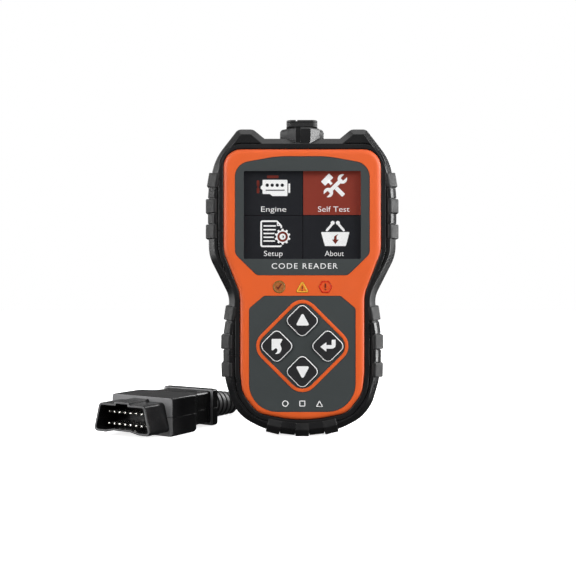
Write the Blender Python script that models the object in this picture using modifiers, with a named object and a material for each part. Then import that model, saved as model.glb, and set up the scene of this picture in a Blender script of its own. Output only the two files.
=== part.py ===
"""A handheld car diagnostic code reader, standing on its base, with its 16-pin plug and cable.

Sizes are in millimetres, and the helpers turn them into Blender's metres. X runs across the reader, Z up
its height and +Y into its depth, so the face looks towards -Y. The origin is the middle of the base.
"""

import math

import bmesh
import bpy
from mathutils import Matrix, Vector

MM = 0.001
GAP = 0.3  # left between pieces that touch
CLEAR = 25.0  # how far a cutter reaches, well outside the reader
ARC_STEP = 18  # degrees of arc for each straight piece of an outline

# Depths of the reader's layers, from the face towards the back.
KEY_TOP = -18.0
LIGHT_TOP = -17.15
FACE = -17.0
OVERLAY_TOP = -16.9
LENS_FRONT = -16.0
BOOT_FRONT = -15.6
FLANGE_FRONT = -13.7
FACE_BACK = -13.4
LENS_BACK = -14.8
KEYPAD_BACK = -15.4
FRONT_RIM = -1.0
BOOT_BACK = 18.0
HOUSING_BACK = 16.2
BACK_STEP = 13.7
WALL = 2.4

# Half outlines of the reader's face, from the bottom middle round the right side: x, z, corner radius.
FACE_HALF = ((0, 8.5, 70), (24.5, 13.6, 11), (33, 24.5, 16), (34.2, 36, 30), (34.2, 79.5, 22))
FACE_HALF += ((43.4, 103, 18), (43.4, 159.5, 9.5))
BOOT_HALF = ((0, 0.9, 0), (20, 3.2, 40), (37.5, 12.5, 24), (43.6, 33, 40), (43.9, 56, 60))
BOOT_HALF += ((40.4, 77.5, 14), (52.3, 101, 22), (52.3, 136, 60), (49.2, 154.4, 30))
BOOT_HALF += ((36, 171.5, 4), (27.4, 171.5, 4), (21, 166.3, 0))
SCREEN_OVERLAY_HALF = ((25.2, 89.9, 4), (37.2, 101.6, 5), (37.2, 151.4, 8.5), (14, 155.6, 60))
KEYPAD_OVERLAY_HALF = ((29.4, 14.3, 13), (29.4, 71.5, 2.5), (21.2, 78.4, 2.5))
FLANGE_WIDTH = 1.6  # how far the housing reaches out under the boot's front lip
BACK_LIP = 2.5  # how far the boot's rear lip reaches in over the housing

SCREEN_SIZE = (64.8, 48.6)
SCREEN_Z = 123.2
MODULE_SIZE = (69.2, 56.0)

KEY_HOLE_END = -10.0  # how deep the holes for the keys and lights are cut
KEYPAD_Z = 50.7
KEY_REACH = 14.1  # from the keypad's middle to the middle of each key
KEY_HALF_SIDE = 7.13
KEY_CORNER = 3.4
FLANGE_BACK = -12.1
PLUNGER_END = -10.9
DOME_FRONT = -9.6
BOARD_FRONT = -8.6
BOARD_BACK = -7.0
RING_HALF_SIDE = 20.7
RING_CORNER = 9.0
RING_WIDTH = 1.9
RING_TOP = -17.1
RING_BACK = -16.3

LIGHT_Z = 83.4
LIGHT_SPACING = 12.8
LIGHT_RADIUS = 3.4

SCREW_PLACES = ((37.0, 153.0), (-37.0, 153.0), (27.2, 28.0), (-27.2, 28.0))

# Ribs of the boot, by height on each side and by place across the base, with their lengths.
UPPER_RIBS = (143.0, 128.4, 114.2)
LOWER_RIBS = (69.0, 52.8, 37.2)
RIB_LENGTH = 8.0
RIB_HEIGHT = 1.5
RIB_ROOT = 4.6
SIDE_FOOT_X = 16.4
FOOT_LENGTH = 7.6
FOOT_HEIGHT = 1.2

# Cable outlet in the middle of the top.
OUTLET_RADIUS = 8.5
OUTLET_TOP = 177.4
OUTLET_WIDTH = 17.6
COLLAR_RADIUS = 12.4
COLLAR_TOP = 172.6
COLLAR_FOOT = 161.8
BROW_TOP = 172.0
SPOUT_Z = 170.6
SPOUT_END = 30.0

# Cable, and the coil that takes its spare length.
CABLE_RADIUS = 2.7
COIL_CENTRE = (0.0, 90.0)
COIL_RADIUS = 30.0
COIL_TURNS = 2.625
COIL_LIFT = 0.9  # the tie goes under the coil
TIE_THICKNESS = 0.6
TIE_WIDTH = 7.0

# The plug, in its own frame: the mating face looks towards -Y and the origin is below that face.
PLUG_PLACE = (-91.2, -4.4, 0.0)
PLUG_TURN = -31.0
PLUG_WIDTH = 44.5
PLUG_HEIGHT = 21.6
PLUG_LENGTH = 48.0
PLUG_SPLIT = 10.8  # height of the seam between the covers, and of the cable
PLUG_WAIST = 17.4
PLUG_COLLAR = 19.0
SHROUD_FRONT = -16.5
SHROUD_BACK = 5.0
PIN_PITCH = 4.0
PIN_ROWS = (13.1, 6.5)
PIN_FRONT = -11.5
PIN_BACK = 13.0
PIN_SIZE = (1.6, 1.3)
RELIEF_END = 92.0
RELIEF_TILT = 4.6  # the relief drops towards the floor

ORANGE = ((0.83, 0.13, 0.025), 0.42, 0.0)
GREY = ((0.058, 0.067, 0.072), 0.5, 0.0)
BLACK = ((0.012, 0.012, 0.013), 0.55, 0.0)
DARK = ((0.02, 0.02, 0.023), 0.45, 0.0)
GLASS = ((0.01, 0.01, 0.012), 0.1, 0.0)
BOARD = ((0.01, 0.12, 0.045), 0.5, 0.0)
METAL = ((0.6, 0.58, 0.54), 0.3, 1.0)
CREAM = ((0.7, 0.68, 0.6), 0.5, 0.0)

# Turns an outline drawn flat so that it is extruded along the named axis.
FACING = {
    "X": Matrix(((0, 0, 1, 0), (1, 0, 0, 0), (0, 1, 0, 0), (0, 0, 0, 1))),
    "Y": Matrix(((1, 0, 0, 0), (0, 0, -1, 0), (0, 1, 0, 0), (0, 0, 0, 1))),
    "Z": Matrix.Identity(4),
}
AXES = {"X": Vector((1, 0, 0)), "Y": Vector((0, 1, 0)), "Z": Vector((0, 0, 1))}


def clear_scene():
    """Removes whatever the scene holds, and makes the two collections."""
    for thing in list(bpy.data.objects):
        bpy.data.objects.remove(thing, do_unlink=True)
    for name in ("obd_code_reader", "cutters"):
        bpy.context.scene.collection.children.link(bpy.data.collections.new(name))


def material(name, finish):
    """The Principled material of this name, made once."""
    if name in bpy.data.materials:
        return bpy.data.materials[name]
    colour, roughness, metallic = finish
    made = bpy.data.materials.new(name)
    made.use_nodes = True
    shader = made.node_tree.nodes["Principled BSDF"]
    shader.inputs["Base Color"].default_value = (*colour, 1)
    shader.inputs["Roughness"].default_value = roughness
    shader.inputs["Metallic"].default_value = metallic
    return made


# Outlines


def rounded(corners, step=ARC_STEP):
    """The points of a closed outline through corners of x, z and radius, each corner drawn as an arc."""
    points = []
    for index, (x, z, radius) in enumerate(corners):
        here = Vector((x, z))
        if radius == 0:
            points.append(here)
            continue
        before = (Vector(corners[index - 1][:2]) - here).normalized()
        after = (Vector(corners[(index + 1) % len(corners)][:2]) - here).normalized()
        half = before.angle(after) / 2
        centre = here + (before + after).normalized() * radius / math.sin(half)
        spokes = [here + side * radius / math.tan(half) - centre for side in (before, after)]
        start, end = (math.atan2(spoke.y, spoke.x) for spoke in spokes)
        sweep = (end - start + math.pi) % math.tau - math.pi
        count = max(1, math.ceil(abs(sweep) / math.radians(step)))
        for part in range(count + 1):
            turn = start + sweep * part / count
            points.append(centre + radius * Vector((math.cos(turn), math.sin(turn))))
    return points


def mirrored(half):
    """The corners of a symmetric outline, from its right half."""
    return list(half) + [(-x, z, radius) for x, z, radius in reversed(half) if x > 0]


def grown(points, distance):
    """The outline moved outwards by distance, or inwards where that is negative."""
    moved = []
    for before, here, after in zip(points[-1:] + points[:-1], points, points[1:] + points[:1]):
        first = (here - before).normalized()
        along = (first + (after - here).normalized()).normalized()
        moved.append(here + Vector((along.y, -along.x)) * distance / along.dot(first))
    return moved


def shifted(points, x, z):
    return [point + Vector((x, z)) for point in points]


def polygon(sides, radius, corner, turn=0):
    """A regular polygon with rounded corners, its first corner turned that many degrees from +X."""
    spokes = [math.radians(turn + 360 * side / sides) for side in range(sides)]
    return rounded([(radius * math.cos(spoke), radius * math.sin(spoke), corner) for spoke in spokes], 30)


def diamond(half_side, corner):
    return polygon(4, half_side * math.sqrt(2), corner)


def circle(radius, sides=24):
    return [Vector((radius * math.cos(k), radius * math.sin(k))) for k in spread(sides)]


def spread(sides):
    return [math.tau * side / sides for side in range(sides)]


def rectangle(width, height, corner=0, middle=(0, 0)):
    x, z = width / 2, height / 2
    corners = [(-x, -z, corner), (x, -z, corner), (x, z, corner), (-x, z, corner)]
    return shifted(rounded(corners, 30), *middle)


FACE_OUTLINE = rounded(mirrored(FACE_HALF))
HOUSING_OUTLINE = grown(FACE_OUTLINE, FLANGE_WIDTH)
BOOT_OUTLINE = rounded(mirrored(BOOT_HALF))
SCREEN_OVERLAY = rounded(mirrored(SCREEN_OVERLAY_HALF))
KEYPAD_OVERLAY = rounded(mirrored(KEYPAD_OVERLAY_HALF))
KEY_OUTLINE = diamond(KEY_HALF_SIDE, KEY_CORNER)
KEYS = {"up": (0, 1), "down": (0, -1), "back": (-1, 0), "enter": (1, 0)}
KEY_PLACES = {name: (x * KEY_REACH, KEYPAD_Z + z * KEY_REACH) for name, (x, z) in KEYS.items()}
KEYS_IN_PLACE = [shifted(KEY_OUTLINE, *place) for place in KEY_PLACES.values()]
LIGHTS = {
    "ready": shifted(circle(LIGHT_RADIUS), -LIGHT_SPACING, LIGHT_Z),
    "caution": shifted(polygon(3, 4.4, 0.8, 90), 0, LIGHT_Z - 0.9),
    "fault": shifted(polygon(6, 3.8, 0.5), LIGHT_SPACING, LIGHT_Z),
}
LIGHT_COLOURS = {"ready": (0.25, 0.16, 0.03), "caution": (0.8, 0.42, 0.02), "fault": (0.6, 0.02, 0.01)}


# Solids


def new_object(name, data, parent=None):
    made = bpy.data.objects.new(name, data)
    made.parent = parent
    bpy.context.scene.collection.objects.link(made)
    return made


def from_curve(name, curve, turn, parent=None):
    """A curve's evaluated surface as a mesh object, its caps welded and its flat areas made whole."""
    drawn = bpy.data.objects.new(name + "_curve", curve)
    bpy.context.scene.collection.objects.link(drawn)
    bpy.context.view_layer.update()
    mesh = bpy.data.meshes.new_from_object(drawn.evaluated_get(bpy.context.evaluated_depsgraph_get()))
    bpy.data.objects.remove(drawn)
    mesh.transform(turn)
    shape = bmesh.new()
    shape.from_mesh(mesh)
    bmesh.ops.remove_doubles(shape, verts=shape.verts, dist=0.00001)
    bmesh.ops.dissolve_limit(shape, angle_limit=0.002, verts=shape.verts, edges=shape.edges)
    bmesh.ops.recalc_face_normals(shape, faces=shape.faces)
    shape.to_mesh(mesh)
    shape.free()
    mesh.name = name
    return new_object(name, mesh, parent)


def plate(name, outline, start, end, holes=(), axis="Y", parent=None):
    """A flat solid of this outline, extruded along the axis from start to end."""
    curve = bpy.data.curves.new(name, "CURVE")
    curve.dimensions = "2D"
    curve.fill_mode = "BOTH"
    curve.extrude = abs(end - start) / 2 * MM
    for points in (outline, *holes):
        spline = curve.splines.new("POLY")
        spline.points.add(len(points) - 1)
        for spot, point in zip(spline.points, points):
            spot.co = (point[0] * MM, point[1] * MM, 0, 1)
        spline.use_cyclic_u = True
    middle = Matrix.Translation(AXES[axis] * (start + end) / 2 * MM)
    return from_curve(name, curve, middle @ FACING[axis], parent)


def soften(piece, level, width, segments=2, axis="Y"):
    """Rounds the sharp edges that lie in the plane at this level of the axis."""
    shape = bmesh.new()
    shape.from_mesh(piece.data)
    away = AXES[axis]

    def in_plane(edge):
        flat = all(abs(end.co.dot(away) - level * MM) < 0.00001 for end in edge.verts)
        return flat and len(edge.link_faces) == 2 and edge.calc_face_angle() > math.radians(40)

    edges = [edge for edge in shape.edges if in_plane(edge)]
    bmesh.ops.bevel(shape, geom=edges, offset=width * MM, segments=segments, profile=0.5, affect="EDGES")
    shape.to_mesh(piece.data)
    shape.free()
    return piece


def block(name, low, high, edge=0.0, parent=None):
    """A box between two corners, its edges chamfered by edge."""
    low, high = Vector(low) * MM, Vector(high) * MM
    size = Matrix.Diagonal((*(high - low), 1))
    shape = bmesh.new()
    bmesh.ops.create_cube(shape, size=1, matrix=Matrix.Translation((low + high) / 2) @ size)
    if edge:
        bmesh.ops.bevel(shape, geom=shape.edges[:], offset=edge * MM, segments=1, affect="EDGES")
    mesh = bpy.data.meshes.new(name)
    shape.to_mesh(mesh)
    shape.free()
    return new_object(name, mesh, parent)


def rod(name, radius, start, end, middle=(0, 0, 0), axis="Y", tip=None, sides=24, parent=None):
    """A cylinder along the axis from start to end, or a cone where the far end has its own radius."""
    turn = {"X": ("Y", 90), "Y": ("X", -90), "Z": ("Z", 0)}[axis]
    place = Matrix.Translation((Vector(middle) + AXES[axis] * (start + end) / 2) * MM)
    shape = bmesh.new()
    bmesh.ops.create_cone(
        shape,
        cap_ends=True,
        segments=sides,
        radius1=radius * MM,
        radius2=(radius if tip is None else tip) * MM,
        depth=(end - start) * MM,
        matrix=place @ Matrix.Rotation(math.radians(turn[1]), 4, turn[0]),
    )
    mesh = bpy.data.meshes.new(name)
    shape.to_mesh(mesh)
    shape.free()
    return new_object(name, mesh, parent)


def turned(name, profile, middle=(0, 0, 0), axis="Z", sides=24, parent=None):
    """A turned solid, from a profile of radius and height that runs from its top down to its bottom."""
    mesh = bpy.data.meshes.new(name)
    points = [(radius * MM, 0, height * MM) for radius, height in profile]
    mesh.from_pydata(points, [(k, k + 1) for k in range(len(points) - 1)], [])
    made = new_object(name, mesh, parent)
    made.location = Vector(middle) * MM
    made.rotation_euler.x = math.radians(-90 if axis == "Y" else 0)
    screw = made.modifiers.new("turn", "SCREW")
    screw.steps = sides
    screw.render_steps = sides
    screw.use_merge_vertices = True
    screw.merge_threshold = 0.00001
    return made


def tube(name, route, radius):
    """A round tube along these points."""
    curve = bpy.data.curves.new(name, "CURVE")
    curve.dimensions = "3D"
    curve.bevel_depth = radius * MM
    curve.bevel_resolution = 2
    curve.use_fill_caps = True
    spline = curve.splines.new("POLY")
    spline.points.add(len(route) - 1)
    for spot, point in zip(spline.points, route):
        spot.co = (*(Vector(point) * MM), 1)
    return new_object(name, curve)


def smooth_route(points, spacing):
    """Evenly spaced points on a smooth curve through these points."""
    knots = [Vector(point) for point in points]
    knots = [2 * knots[0] - knots[1], *knots, 2 * knots[-1] - knots[-2]]
    fine = []
    for a, b, c, d in zip(knots, knots[1:], knots[2:], knots[3:]):
        for step in range(20):
            t = step / 20
            bend = (2 * a - 5 * b + 4 * c - d) * t**2 + (3 * b - a - 3 * c + d) * t**3
            fine.append((2 * b + (c - a) * t + bend) / 2)
    fine.append(knots[-2])
    route = [fine[0]]
    for point in fine[1:-1]:
        if (point - route[-1]).length >= spacing and (point - fine[-1]).length >= spacing / 2:
            route.append(point)
    return route + [fine[-1]]


def boolean(target, operation, tools):
    """Cuts, joins or keeps the common part of the target and the tools, which then only show as wires."""
    for tool in tools:
        step = target.modifiers.new(operation.lower(), "BOOLEAN")
        step.operation = operation
        step.solver = "EXACT"
        step.object = tool
        tool.hide_render = True
        tool.display_type = "WIRE"
        if tool.name not in bpy.data.collections["cutters"].objects:
            bpy.context.scene.collection.objects.unlink(tool)
            bpy.data.collections["cutters"].objects.link(tool)
    return target


def cut(target, *tools):
    return boolean(target, "DIFFERENCE", tools)


def join(target, *tools):
    return boolean(target, "UNION", tools)


def together(name, pieces):
    """One object that holds the meshes of several pieces which don't touch."""
    shape = bmesh.new()
    for piece in pieces:
        piece.data.transform(piece.matrix_basis)
        shape.from_mesh(piece.data)
    mesh = bpy.data.meshes.new(name)
    shape.to_mesh(mesh)
    shape.free()
    parent = pieces[0].parent
    for piece in pieces:
        bpy.data.objects.remove(piece)
    return new_object(name, mesh, parent)


def finish(piece, finish_name, finish_values):
    """Gives a finished piece its material and its place in the object's collection."""
    piece.data.materials.append(material(finish_name, finish_values))
    if piece.type == "MESH":
        piece.data.shade_smooth()
        piece.data.set_sharp_from_angle(angle=math.radians(30))
    bpy.context.scene.collection.objects.unlink(piece)
    bpy.data.collections["obd_code_reader"].objects.link(piece)
    return piece


# The reader's shells


def wall_at(points, start, towards):
    """Where the line from start leaves the outline, and the outline's outward normal there."""
    for here, after in zip(points, points[1:] + points[:1]):
        edge = after - here
        across = towards.cross(edge)
        if abs(across) < 1e-9:
            continue
        reach = (here - start).cross(edge) / across
        share = (here - start).cross(towards) / across
        if reach > 0 and 0 <= share < 1:
            return start + towards * reach, Vector((edge.y, -edge.x)).normalized()
    raise ValueError("the line misses the outline")


def rib(start, towards, length, height):
    """A block that wraps the boot's wall where the line from start leaves its outline."""
    place, normal = wall_at(BOOT_OUTLINE, Vector(start), Vector(towards))
    low, high = (-RIB_ROOT, BOOT_FRONT + 0.6, -length / 2), (height, BOOT_BACK - 0.8, length / 2)
    made = block("rib", low, high, 0.8)
    turn = Matrix.Rotation(-math.atan2(normal.y, normal.x), 4, "Y")
    made.data.transform(Matrix.Translation(Vector((place.x, 0, place.y)) * MM) @ turn)
    return made


def boot_ribs():
    """The ribs on both sides, and the three feet under the base."""
    ribs = [block("foot", (-4.2, BOOT_FRONT + 0.6, 0), (4.2, BOOT_BACK - 0.8, 5), 0.8)]
    for side in (1, -1):
        ribs += [rib((0, z), (side, 0), RIB_LENGTH, RIB_HEIGHT) for z in UPPER_RIBS + LOWER_RIBS]
        ribs.append(rib((side * SIDE_FOOT_X, 60), (0, -1), FOOT_LENGTH, FOOT_HEIGHT))
    return together("boot_ribs", ribs)


def rubber_boot():
    """The boot: a ring round the housing, with lips over its front and back edges."""
    boot = plate("rubber_boot", BOOT_OUTLINE, BOOT_FRONT, BOOT_BACK)
    soften(boot, BOOT_FRONT, 3.6, 1)
    soften(boot, BOOT_BACK, 2.5, 1)
    collar = rod("collar", COLLAR_RADIUS, COLLAR_FOOT, COLLAR_TOP, axis="Z", sides=16)
    brow_outline = rectangle(17.4, 9, middle=(0, -10.6))
    brow = plate("collar_brow", brow_outline, COLLAR_FOOT + 0.1, BROW_TOP, axis="Z")
    soften(brow, BROW_TOP, 1.5, 1, "Z")
    join(boot, boot_ribs(), collar, brow)
    groove_inside = grown(FACE_OUTLINE, 2.9)
    cut(
        boot,
        plate("housing_space", grown(HOUSING_OUTLINE, GAP), FLANGE_FRONT - GAP, BACK_STEP + GAP),
        plate("front_opening", grown(FACE_OUTLINE, GAP), -CLEAR, FLANGE_FRONT + 0.7),
        plate("back_opening", grown(HOUSING_OUTLINE, GAP - BACK_LIP), BACK_STEP - 0.7, CLEAR),
        plate("face_groove", grown(FACE_OUTLINE, 4.7), -CLEAR, BOOT_FRONT + 1.2, [groove_inside]),
        rod("outlet_bore", OUTLET_RADIUS + 0.5, 155, 180, axis="Z", sides=24),
        block("spout_slot", (-5.4, 0, SPOUT_Z - 4.9), (5.4, CLEAR, 175)),
    )
    return finish(boot, "boot_rubber", BLACK)


def posts(name, radius, start, end):
    """A cylinder along Y at each screw."""
    rods = [rod("post", radius, start, end, (x, 0, z), sides=12) for x, z in SCREW_PLACES]
    return together(name, rods)


def face_holes(name, outlines):
    """Cutters for pieces that stand in the face, each a GAP wider than its piece."""
    return together(name, [plate("hole", grown(one, GAP), -CLEAR, KEY_HOLE_END) for one in outlines])


def outlet_hole(name):
    return rod(name, OUTLET_RADIUS + 0.5, 150, 165, axis="Z", sides=24)


def front_housing():
    """The orange shell: a raised face inside the boot's lip, on a wider body that the lip holds."""
    shell = plate("front_housing", HOUSING_OUTLINE, FLANGE_FRONT, FRONT_RIM)
    join(shell, soften(plate("raised_face", FACE_OUTLINE, FACE, FLANGE_FRONT + 0.7), FACE, 2.2, 3))
    cut(shell, plate("front_hollow", grown(HOUSING_OUTLINE, -WALL), FACE_BACK, CLEAR))
    join(shell, posts("front_posts", 3.2, FACE_BACK - 0.4, FRONT_RIM))
    cut(
        shell,
        plate("screen_recess", grown(SCREEN_OVERLAY, GAP), -CLEAR, LENS_BACK + GAP),
        plate("keypad_recess", grown(KEYPAD_OVERLAY, GAP), -CLEAR, KEYPAD_BACK + GAP),
        plate("screen_opening", rectangle(66, 50, 1.5, (0, SCREEN_Z)), -CLEAR, KEY_HOLE_END),
        face_holes("face_holes", KEYS_IN_PLACE + list(LIGHTS.values())),
        posts("front_pilots", 1.6, -9, 2),
        outlet_hole("front_outlet"),
    )
    return finish(shell, "orange_plastic", ORANGE)


def rear_housing():
    """The black shell that closes the back, with the screws in deep counterbores."""
    shell = plate("rear_housing", HOUSING_OUTLINE, FRONT_RIM + GAP, BACK_STEP)
    back = plate("raised_back", grown(HOUSING_OUTLINE, -BACK_LIP), BACK_STEP - 0.7, HOUSING_BACK)
    join(shell, soften(back, HOUSING_BACK, 1.4, 2))
    cut(
        shell,
        plate("rear_hollow", grown(HOUSING_OUTLINE, -WALL), -CLEAR, BACK_STEP - WALL),
        plate("rear_deep", grown(HOUSING_OUTLINE, -BACK_LIP - WALL), -CLEAR, HOUSING_BACK - WALL),
    )
    join(shell, posts("rear_posts", 4.3, FRONT_RIM + GAP, BACK_STEP - 0.4))
    cut(
        shell,
        posts("rear_bores", 1.7, -5, CLEAR),
        posts("counterbores", 3.3, 9, CLEAR),
        plate("label_recess", rectangle(48, 62, 3, (0, 102)), HOUSING_BACK - 0.6, CLEAR),
        outlet_hole("rear_outlet"),
    )
    return finish(shell, "rear_plastic", BLACK)


def housing_screws():
    profile = ((0, 11.1), (2.0, 11.1), (2.8, 10.3), (2.8, 9.3), (1.3, 9.3), (1.3, -7), (0.5, -8), (0, -8))
    for number, (x, z) in enumerate(SCREW_PLACES, 1):
        finish(turned(f"housing_screw_{number}", profile, (x, 0, z), "Y", 12), "screw_steel", METAL)


# The face


def screen():
    """The printed overlay, the clear lens behind it, the display and its backlight."""
    window = rectangle(*SCREEN_SIZE, 1.5, (0, SCREEN_Z))
    overlay = plate("screen_overlay", SCREEN_OVERLAY, OVERLAY_TOP, LENS_FRONT - GAP, [window])
    finish(overlay, "overlay_grey", GREY)
    finish(plate("screen_lens", SCREEN_OVERLAY, LENS_FRONT, LENS_BACK), "clear_acrylic", GLASS)
    module = rectangle(*MODULE_SIZE, 1, (0, SCREEN_Z))
    finish(plate("display_panel", module, -13.1, -11.3), "display_glass", GLASS)
    finish(plate("display_backlight", module, -11.0, -8.9), "backlight_frame", METAL)


def keypad():
    """The keypad overlay, with the accent ring let into its face."""
    ring = shifted(diamond(RING_HALF_SIDE, RING_CORNER), 0, KEYPAD_Z)
    inner = grown(ring, -RING_WIDTH)
    overlay = plate("keypad_overlay", KEYPAD_OVERLAY, OVERLAY_TOP, KEYPAD_BACK)
    groove = plate("ring_groove", grown(ring, GAP), -CLEAR, RING_BACK + GAP, [grown(inner, -GAP)])
    cut(overlay, face_holes("key_holes", KEYS_IN_PLACE), groove)
    finish(overlay, "overlay_grey", GREY)
    finish(plate("keypad_ring", ring, RING_TOP, RING_BACK, [inner]), "ring_orange", ORANGE)


def key(name, place):
    """One key: its cap, the flange that keeps it in, and the plunger over its dome."""
    x, z = place
    cap = soften(plate(f"key_{name}", KEY_OUTLINE, KEY_TOP, FLANGE_BACK), KEY_TOP, 0.9, 2)
    flange = plate(f"{name}_flange", grown(KEY_OUTLINE, 1), FACE_BACK + GAP, FLANGE_BACK)
    plunger = rod(f"{name}_plunger", 2.5, FLANGE_BACK - 0.3, PLUNGER_END, sides=16)
    for piece in (cap, flange, plunger):
        piece.location = (x * MM, 0, z * MM)
    join(cap, flange, plunger)
    finish(cap, "key_rubber", DARK)
    dome_back = BOARD_FRONT - GAP
    dome = rod(f"key_dome_{name}", 2.2, DOME_FRONT, dome_back, (x, 0, z), tip=3.6, sides=16)
    finish(dome, "dome_steel", METAL)


def status_light(name, outline, x):
    """A light's lens in the face, and its light-emitting diode on the board behind it."""
    lens = plate(f"status_lens_{name}", outline, LIGHT_TOP, -11.5)
    finish(lens, f"lens_{name}", (LIGHT_COLOURS[name], 0.25, 0.0))
    low, high = (x - 1.6, -10.1, LIGHT_Z - 1.1), (x + 1.6, BOARD_FRONT - GAP, LIGHT_Z + 1.1)
    finish(block(f"status_led_{name}", low, high, 0.2), "led_body", CREAM)


# Inside the reader


def electronics():
    """The main board and what is soldered to it."""
    half = ((23, 17, 2), (23, 86, 2), (32.5, 90, 2), (32.5, 149.5, 2))
    board = plate("main_board", rounded(mirrored(half), 45), BOARD_FRONT, BOARD_BACK)
    finish(board, "circuit_board", BOARD)
    guide = rectangle(46, 57, 3, (0, KEYPAD_Z))
    holes = [shifted(circle(2.9, 16), *place) for place in KEY_PLACES.values()]
    finish(plate("key_guide", guide, -10.8, -10.0, holes), "guide_plastic", DARK)
    front = BOARD_BACK + GAP
    finish(block("processor_chip", (-7, front, 56), (7, -5.2, 70), 0.3), "chip_black", DARK)
    finish(block("transceiver_chip", (-16, front, 108), (-11, -5.2, 118), 0.3), "chip_black", DARK)
    finish(block("cable_header", (-8, front, 126), (8, -1.5, 133), 0.5), "header_plastic", CREAM)


def cable_outlet():
    """The moulded strain relief: a stub held between the housings, its square head and its spout."""
    edge, groove = OUTLET_RADIUS, OUTLET_RADIUS - 0.5
    stub = ((0, 174.5), (groove, 174.5), (groove, 172.4), (edge, 172.1))
    stub += ((edge, 155), (10.3, 155), (10.3, 152.5), (0, 152.5))
    relief = turned("reader_strain_relief", stub, sides=24)
    spout = [(0, SPOUT_END), (3.7, SPOUT_END)]
    for ring in range(4):
        height = SPOUT_END - 3.4 - 4.2 * ring
        radius = 3.8 + 0.2 * ring
        spout += [(radius, height), (radius - 0.6, height - 0.3), (radius - 0.6, height - 1.2)]
        spout += [(radius + 0.1, height - 1.5)]
    spout += [(4.7, 3), (0, 3)]
    head = plate("head", rectangle(OUTLET_WIDTH, OUTLET_WIDTH, 3), COLLAR_TOP + 0.6, OUTLET_TOP, axis="Z")
    join(relief, turned("spout", spout, (0, 0, SPOUT_Z), "Y", 12), head)
    finish(relief, "relief_rubber", BLACK)
    tail = ((0, 0, 152.2), (0, -0.4, 147), (0, -2.2, 141), (0, -3.9, 136), (0, -4.1, 133.3))
    finish(tube("cable_tail", smooth_route(tail, 3), 2.0), "cable_jacket", BLACK)


# The cable


def plug_to_world(x, y, z):
    place = Matrix.Translation(PLUG_PLACE) @ Matrix.Rotation(math.radians(PLUG_TURN), 4, "Z")
    return tuple(place @ Vector((x, y, z)))


def cable():
    """The cable down the reader's back to the coil, and the lead from the coil to the plug."""
    drop = ((0, SPOUT_END + GAP, SPOUT_Z), (0, 37, SPOUT_Z - 0.4), (-0.5, 48.5, 166.2), (-1.5, 56.5, 157))
    drop += ((-3.5, 60, 144), (-8, 60.5, 120), (-13.5, 60, 95), (-18.5, 60, 72), (-22.5, 60, 55))
    drop += ((-23.6, 60, 43), (-21.5, 60.1, 33.5), (-16, 60.2, 25.6))
    finish(tube("cable_drop", smooth_route(drop, 8), CABLE_RADIUS), "cable_jacket", BLACK)
    end = RELIEF_END + GAP
    fall = math.tan(math.radians(RELIEF_TILT))
    height = PLUG_SPLIT - fall * (RELIEF_END - PLUG_LENGTH)
    lead = (plug_to_world(0, end, height), plug_to_world(0, end + 5, height - 5 * fall))
    lead += ((-38.7, 84.7, 6.3), (-37.3, 91, 5.4))
    finish(tube("cable_lead", smooth_route(lead, 6), CABLE_RADIUS), "cable_jacket", BLACK)


def coil():
    """The wound turns as one ring with chamfered edges, and the tie round them."""
    inner, outer = COIL_RADIUS - CABLE_RADIUS, COIL_RADIUS + CABLE_RADIUS
    low, top = COIL_LIFT, COIL_LIFT + 2 * CABLE_RADIUS * (COIL_TURNS + 1)
    section = [(inner, top - 1), (inner + 1, top), (outer - 1, top), (outer, top - 1)]
    section += [(outer, low + 1), (outer - 1, low), (inner + 1, low), (inner, low + 1)]
    section.append(section[0])
    finish(turned("cable_coil", section, (*COIL_CENTRE, 0)), "cable_jacket", BLACK)
    hole = rectangle(outer - inner + 1.4, top - low + 2 * GAP, 0.5, (COIL_RADIUS, (top + low) / 2))
    y = COIL_CENTRE[1]
    tie = plate("coil_tie", grown(hole, TIE_THICKNESS), y - TIE_WIDTH / 2, y + TIE_WIDTH / 2, [hole])
    finish(tie, "tie_strap", DARK)


# The plug


def plug_cover(name, low, high, frame):
    """Half of the plug's housing: a front block, a waist for the fingers and a collar at the rear."""
    side = PLUG_WIDTH / 2
    plan = ((side, 0, 1), (side, 22, 3), (PLUG_WAIST + 0.4, 29, 5), (PLUG_WAIST, 41, 2))
    plan += ((PLUG_COLLAR, 43.5, 1), (PLUG_COLLAR, PLUG_LENGTH, 1.5))
    profile = ((0, 0, 1.5), (24, 0, 1.5), (27.5, 2.1, 2), (41, 2.1, 1), (43.5, 0.2, 1))
    profile += ((PLUG_LENGTH, 0.2, 1.5), (PLUG_LENGTH, 22, 1.5), (43.5, 22, 1), (41, 20.6, 1))
    profile += ((25, PLUG_HEIGHT, 8), (0, PLUG_HEIGHT, 1.5))
    room = PLUG_WAIST - 2
    inside = ((side - 2.3, 2.5, 0.5), (side - 2.3, 21, 2), (room, 28, 3), (room, 45.5, 1))
    cover = plate(name, rounded(mirrored(plan), 30), low, high, axis="Z", parent=frame)
    across = plate(f"{name}_profile", rounded(profile, 30), -CLEAR, CLEAR, axis="X", parent=frame)
    boolean(cover, "INTERSECT", (across,))
    floor, roof = max(low - 1, 4.2), min(high + 1, 18.4)
    hollow = plate(f"{name}_hollow", rounded(mirrored(inside), 45), floor, roof, axis="Z", parent=frame)
    mouth = plate(f"{name}_mouth", grown(shroud_outline(), GAP), -5, SHROUD_BACK + 1, parent=frame)
    neck = rod(f"{name}_neck", 5.0, 40, 55, (0, 0, PLUG_SPLIT), parent=frame)
    cut(cover, hollow, mouth, neck)
    return finish(cover, "plug_plastic", BLACK)


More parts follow.
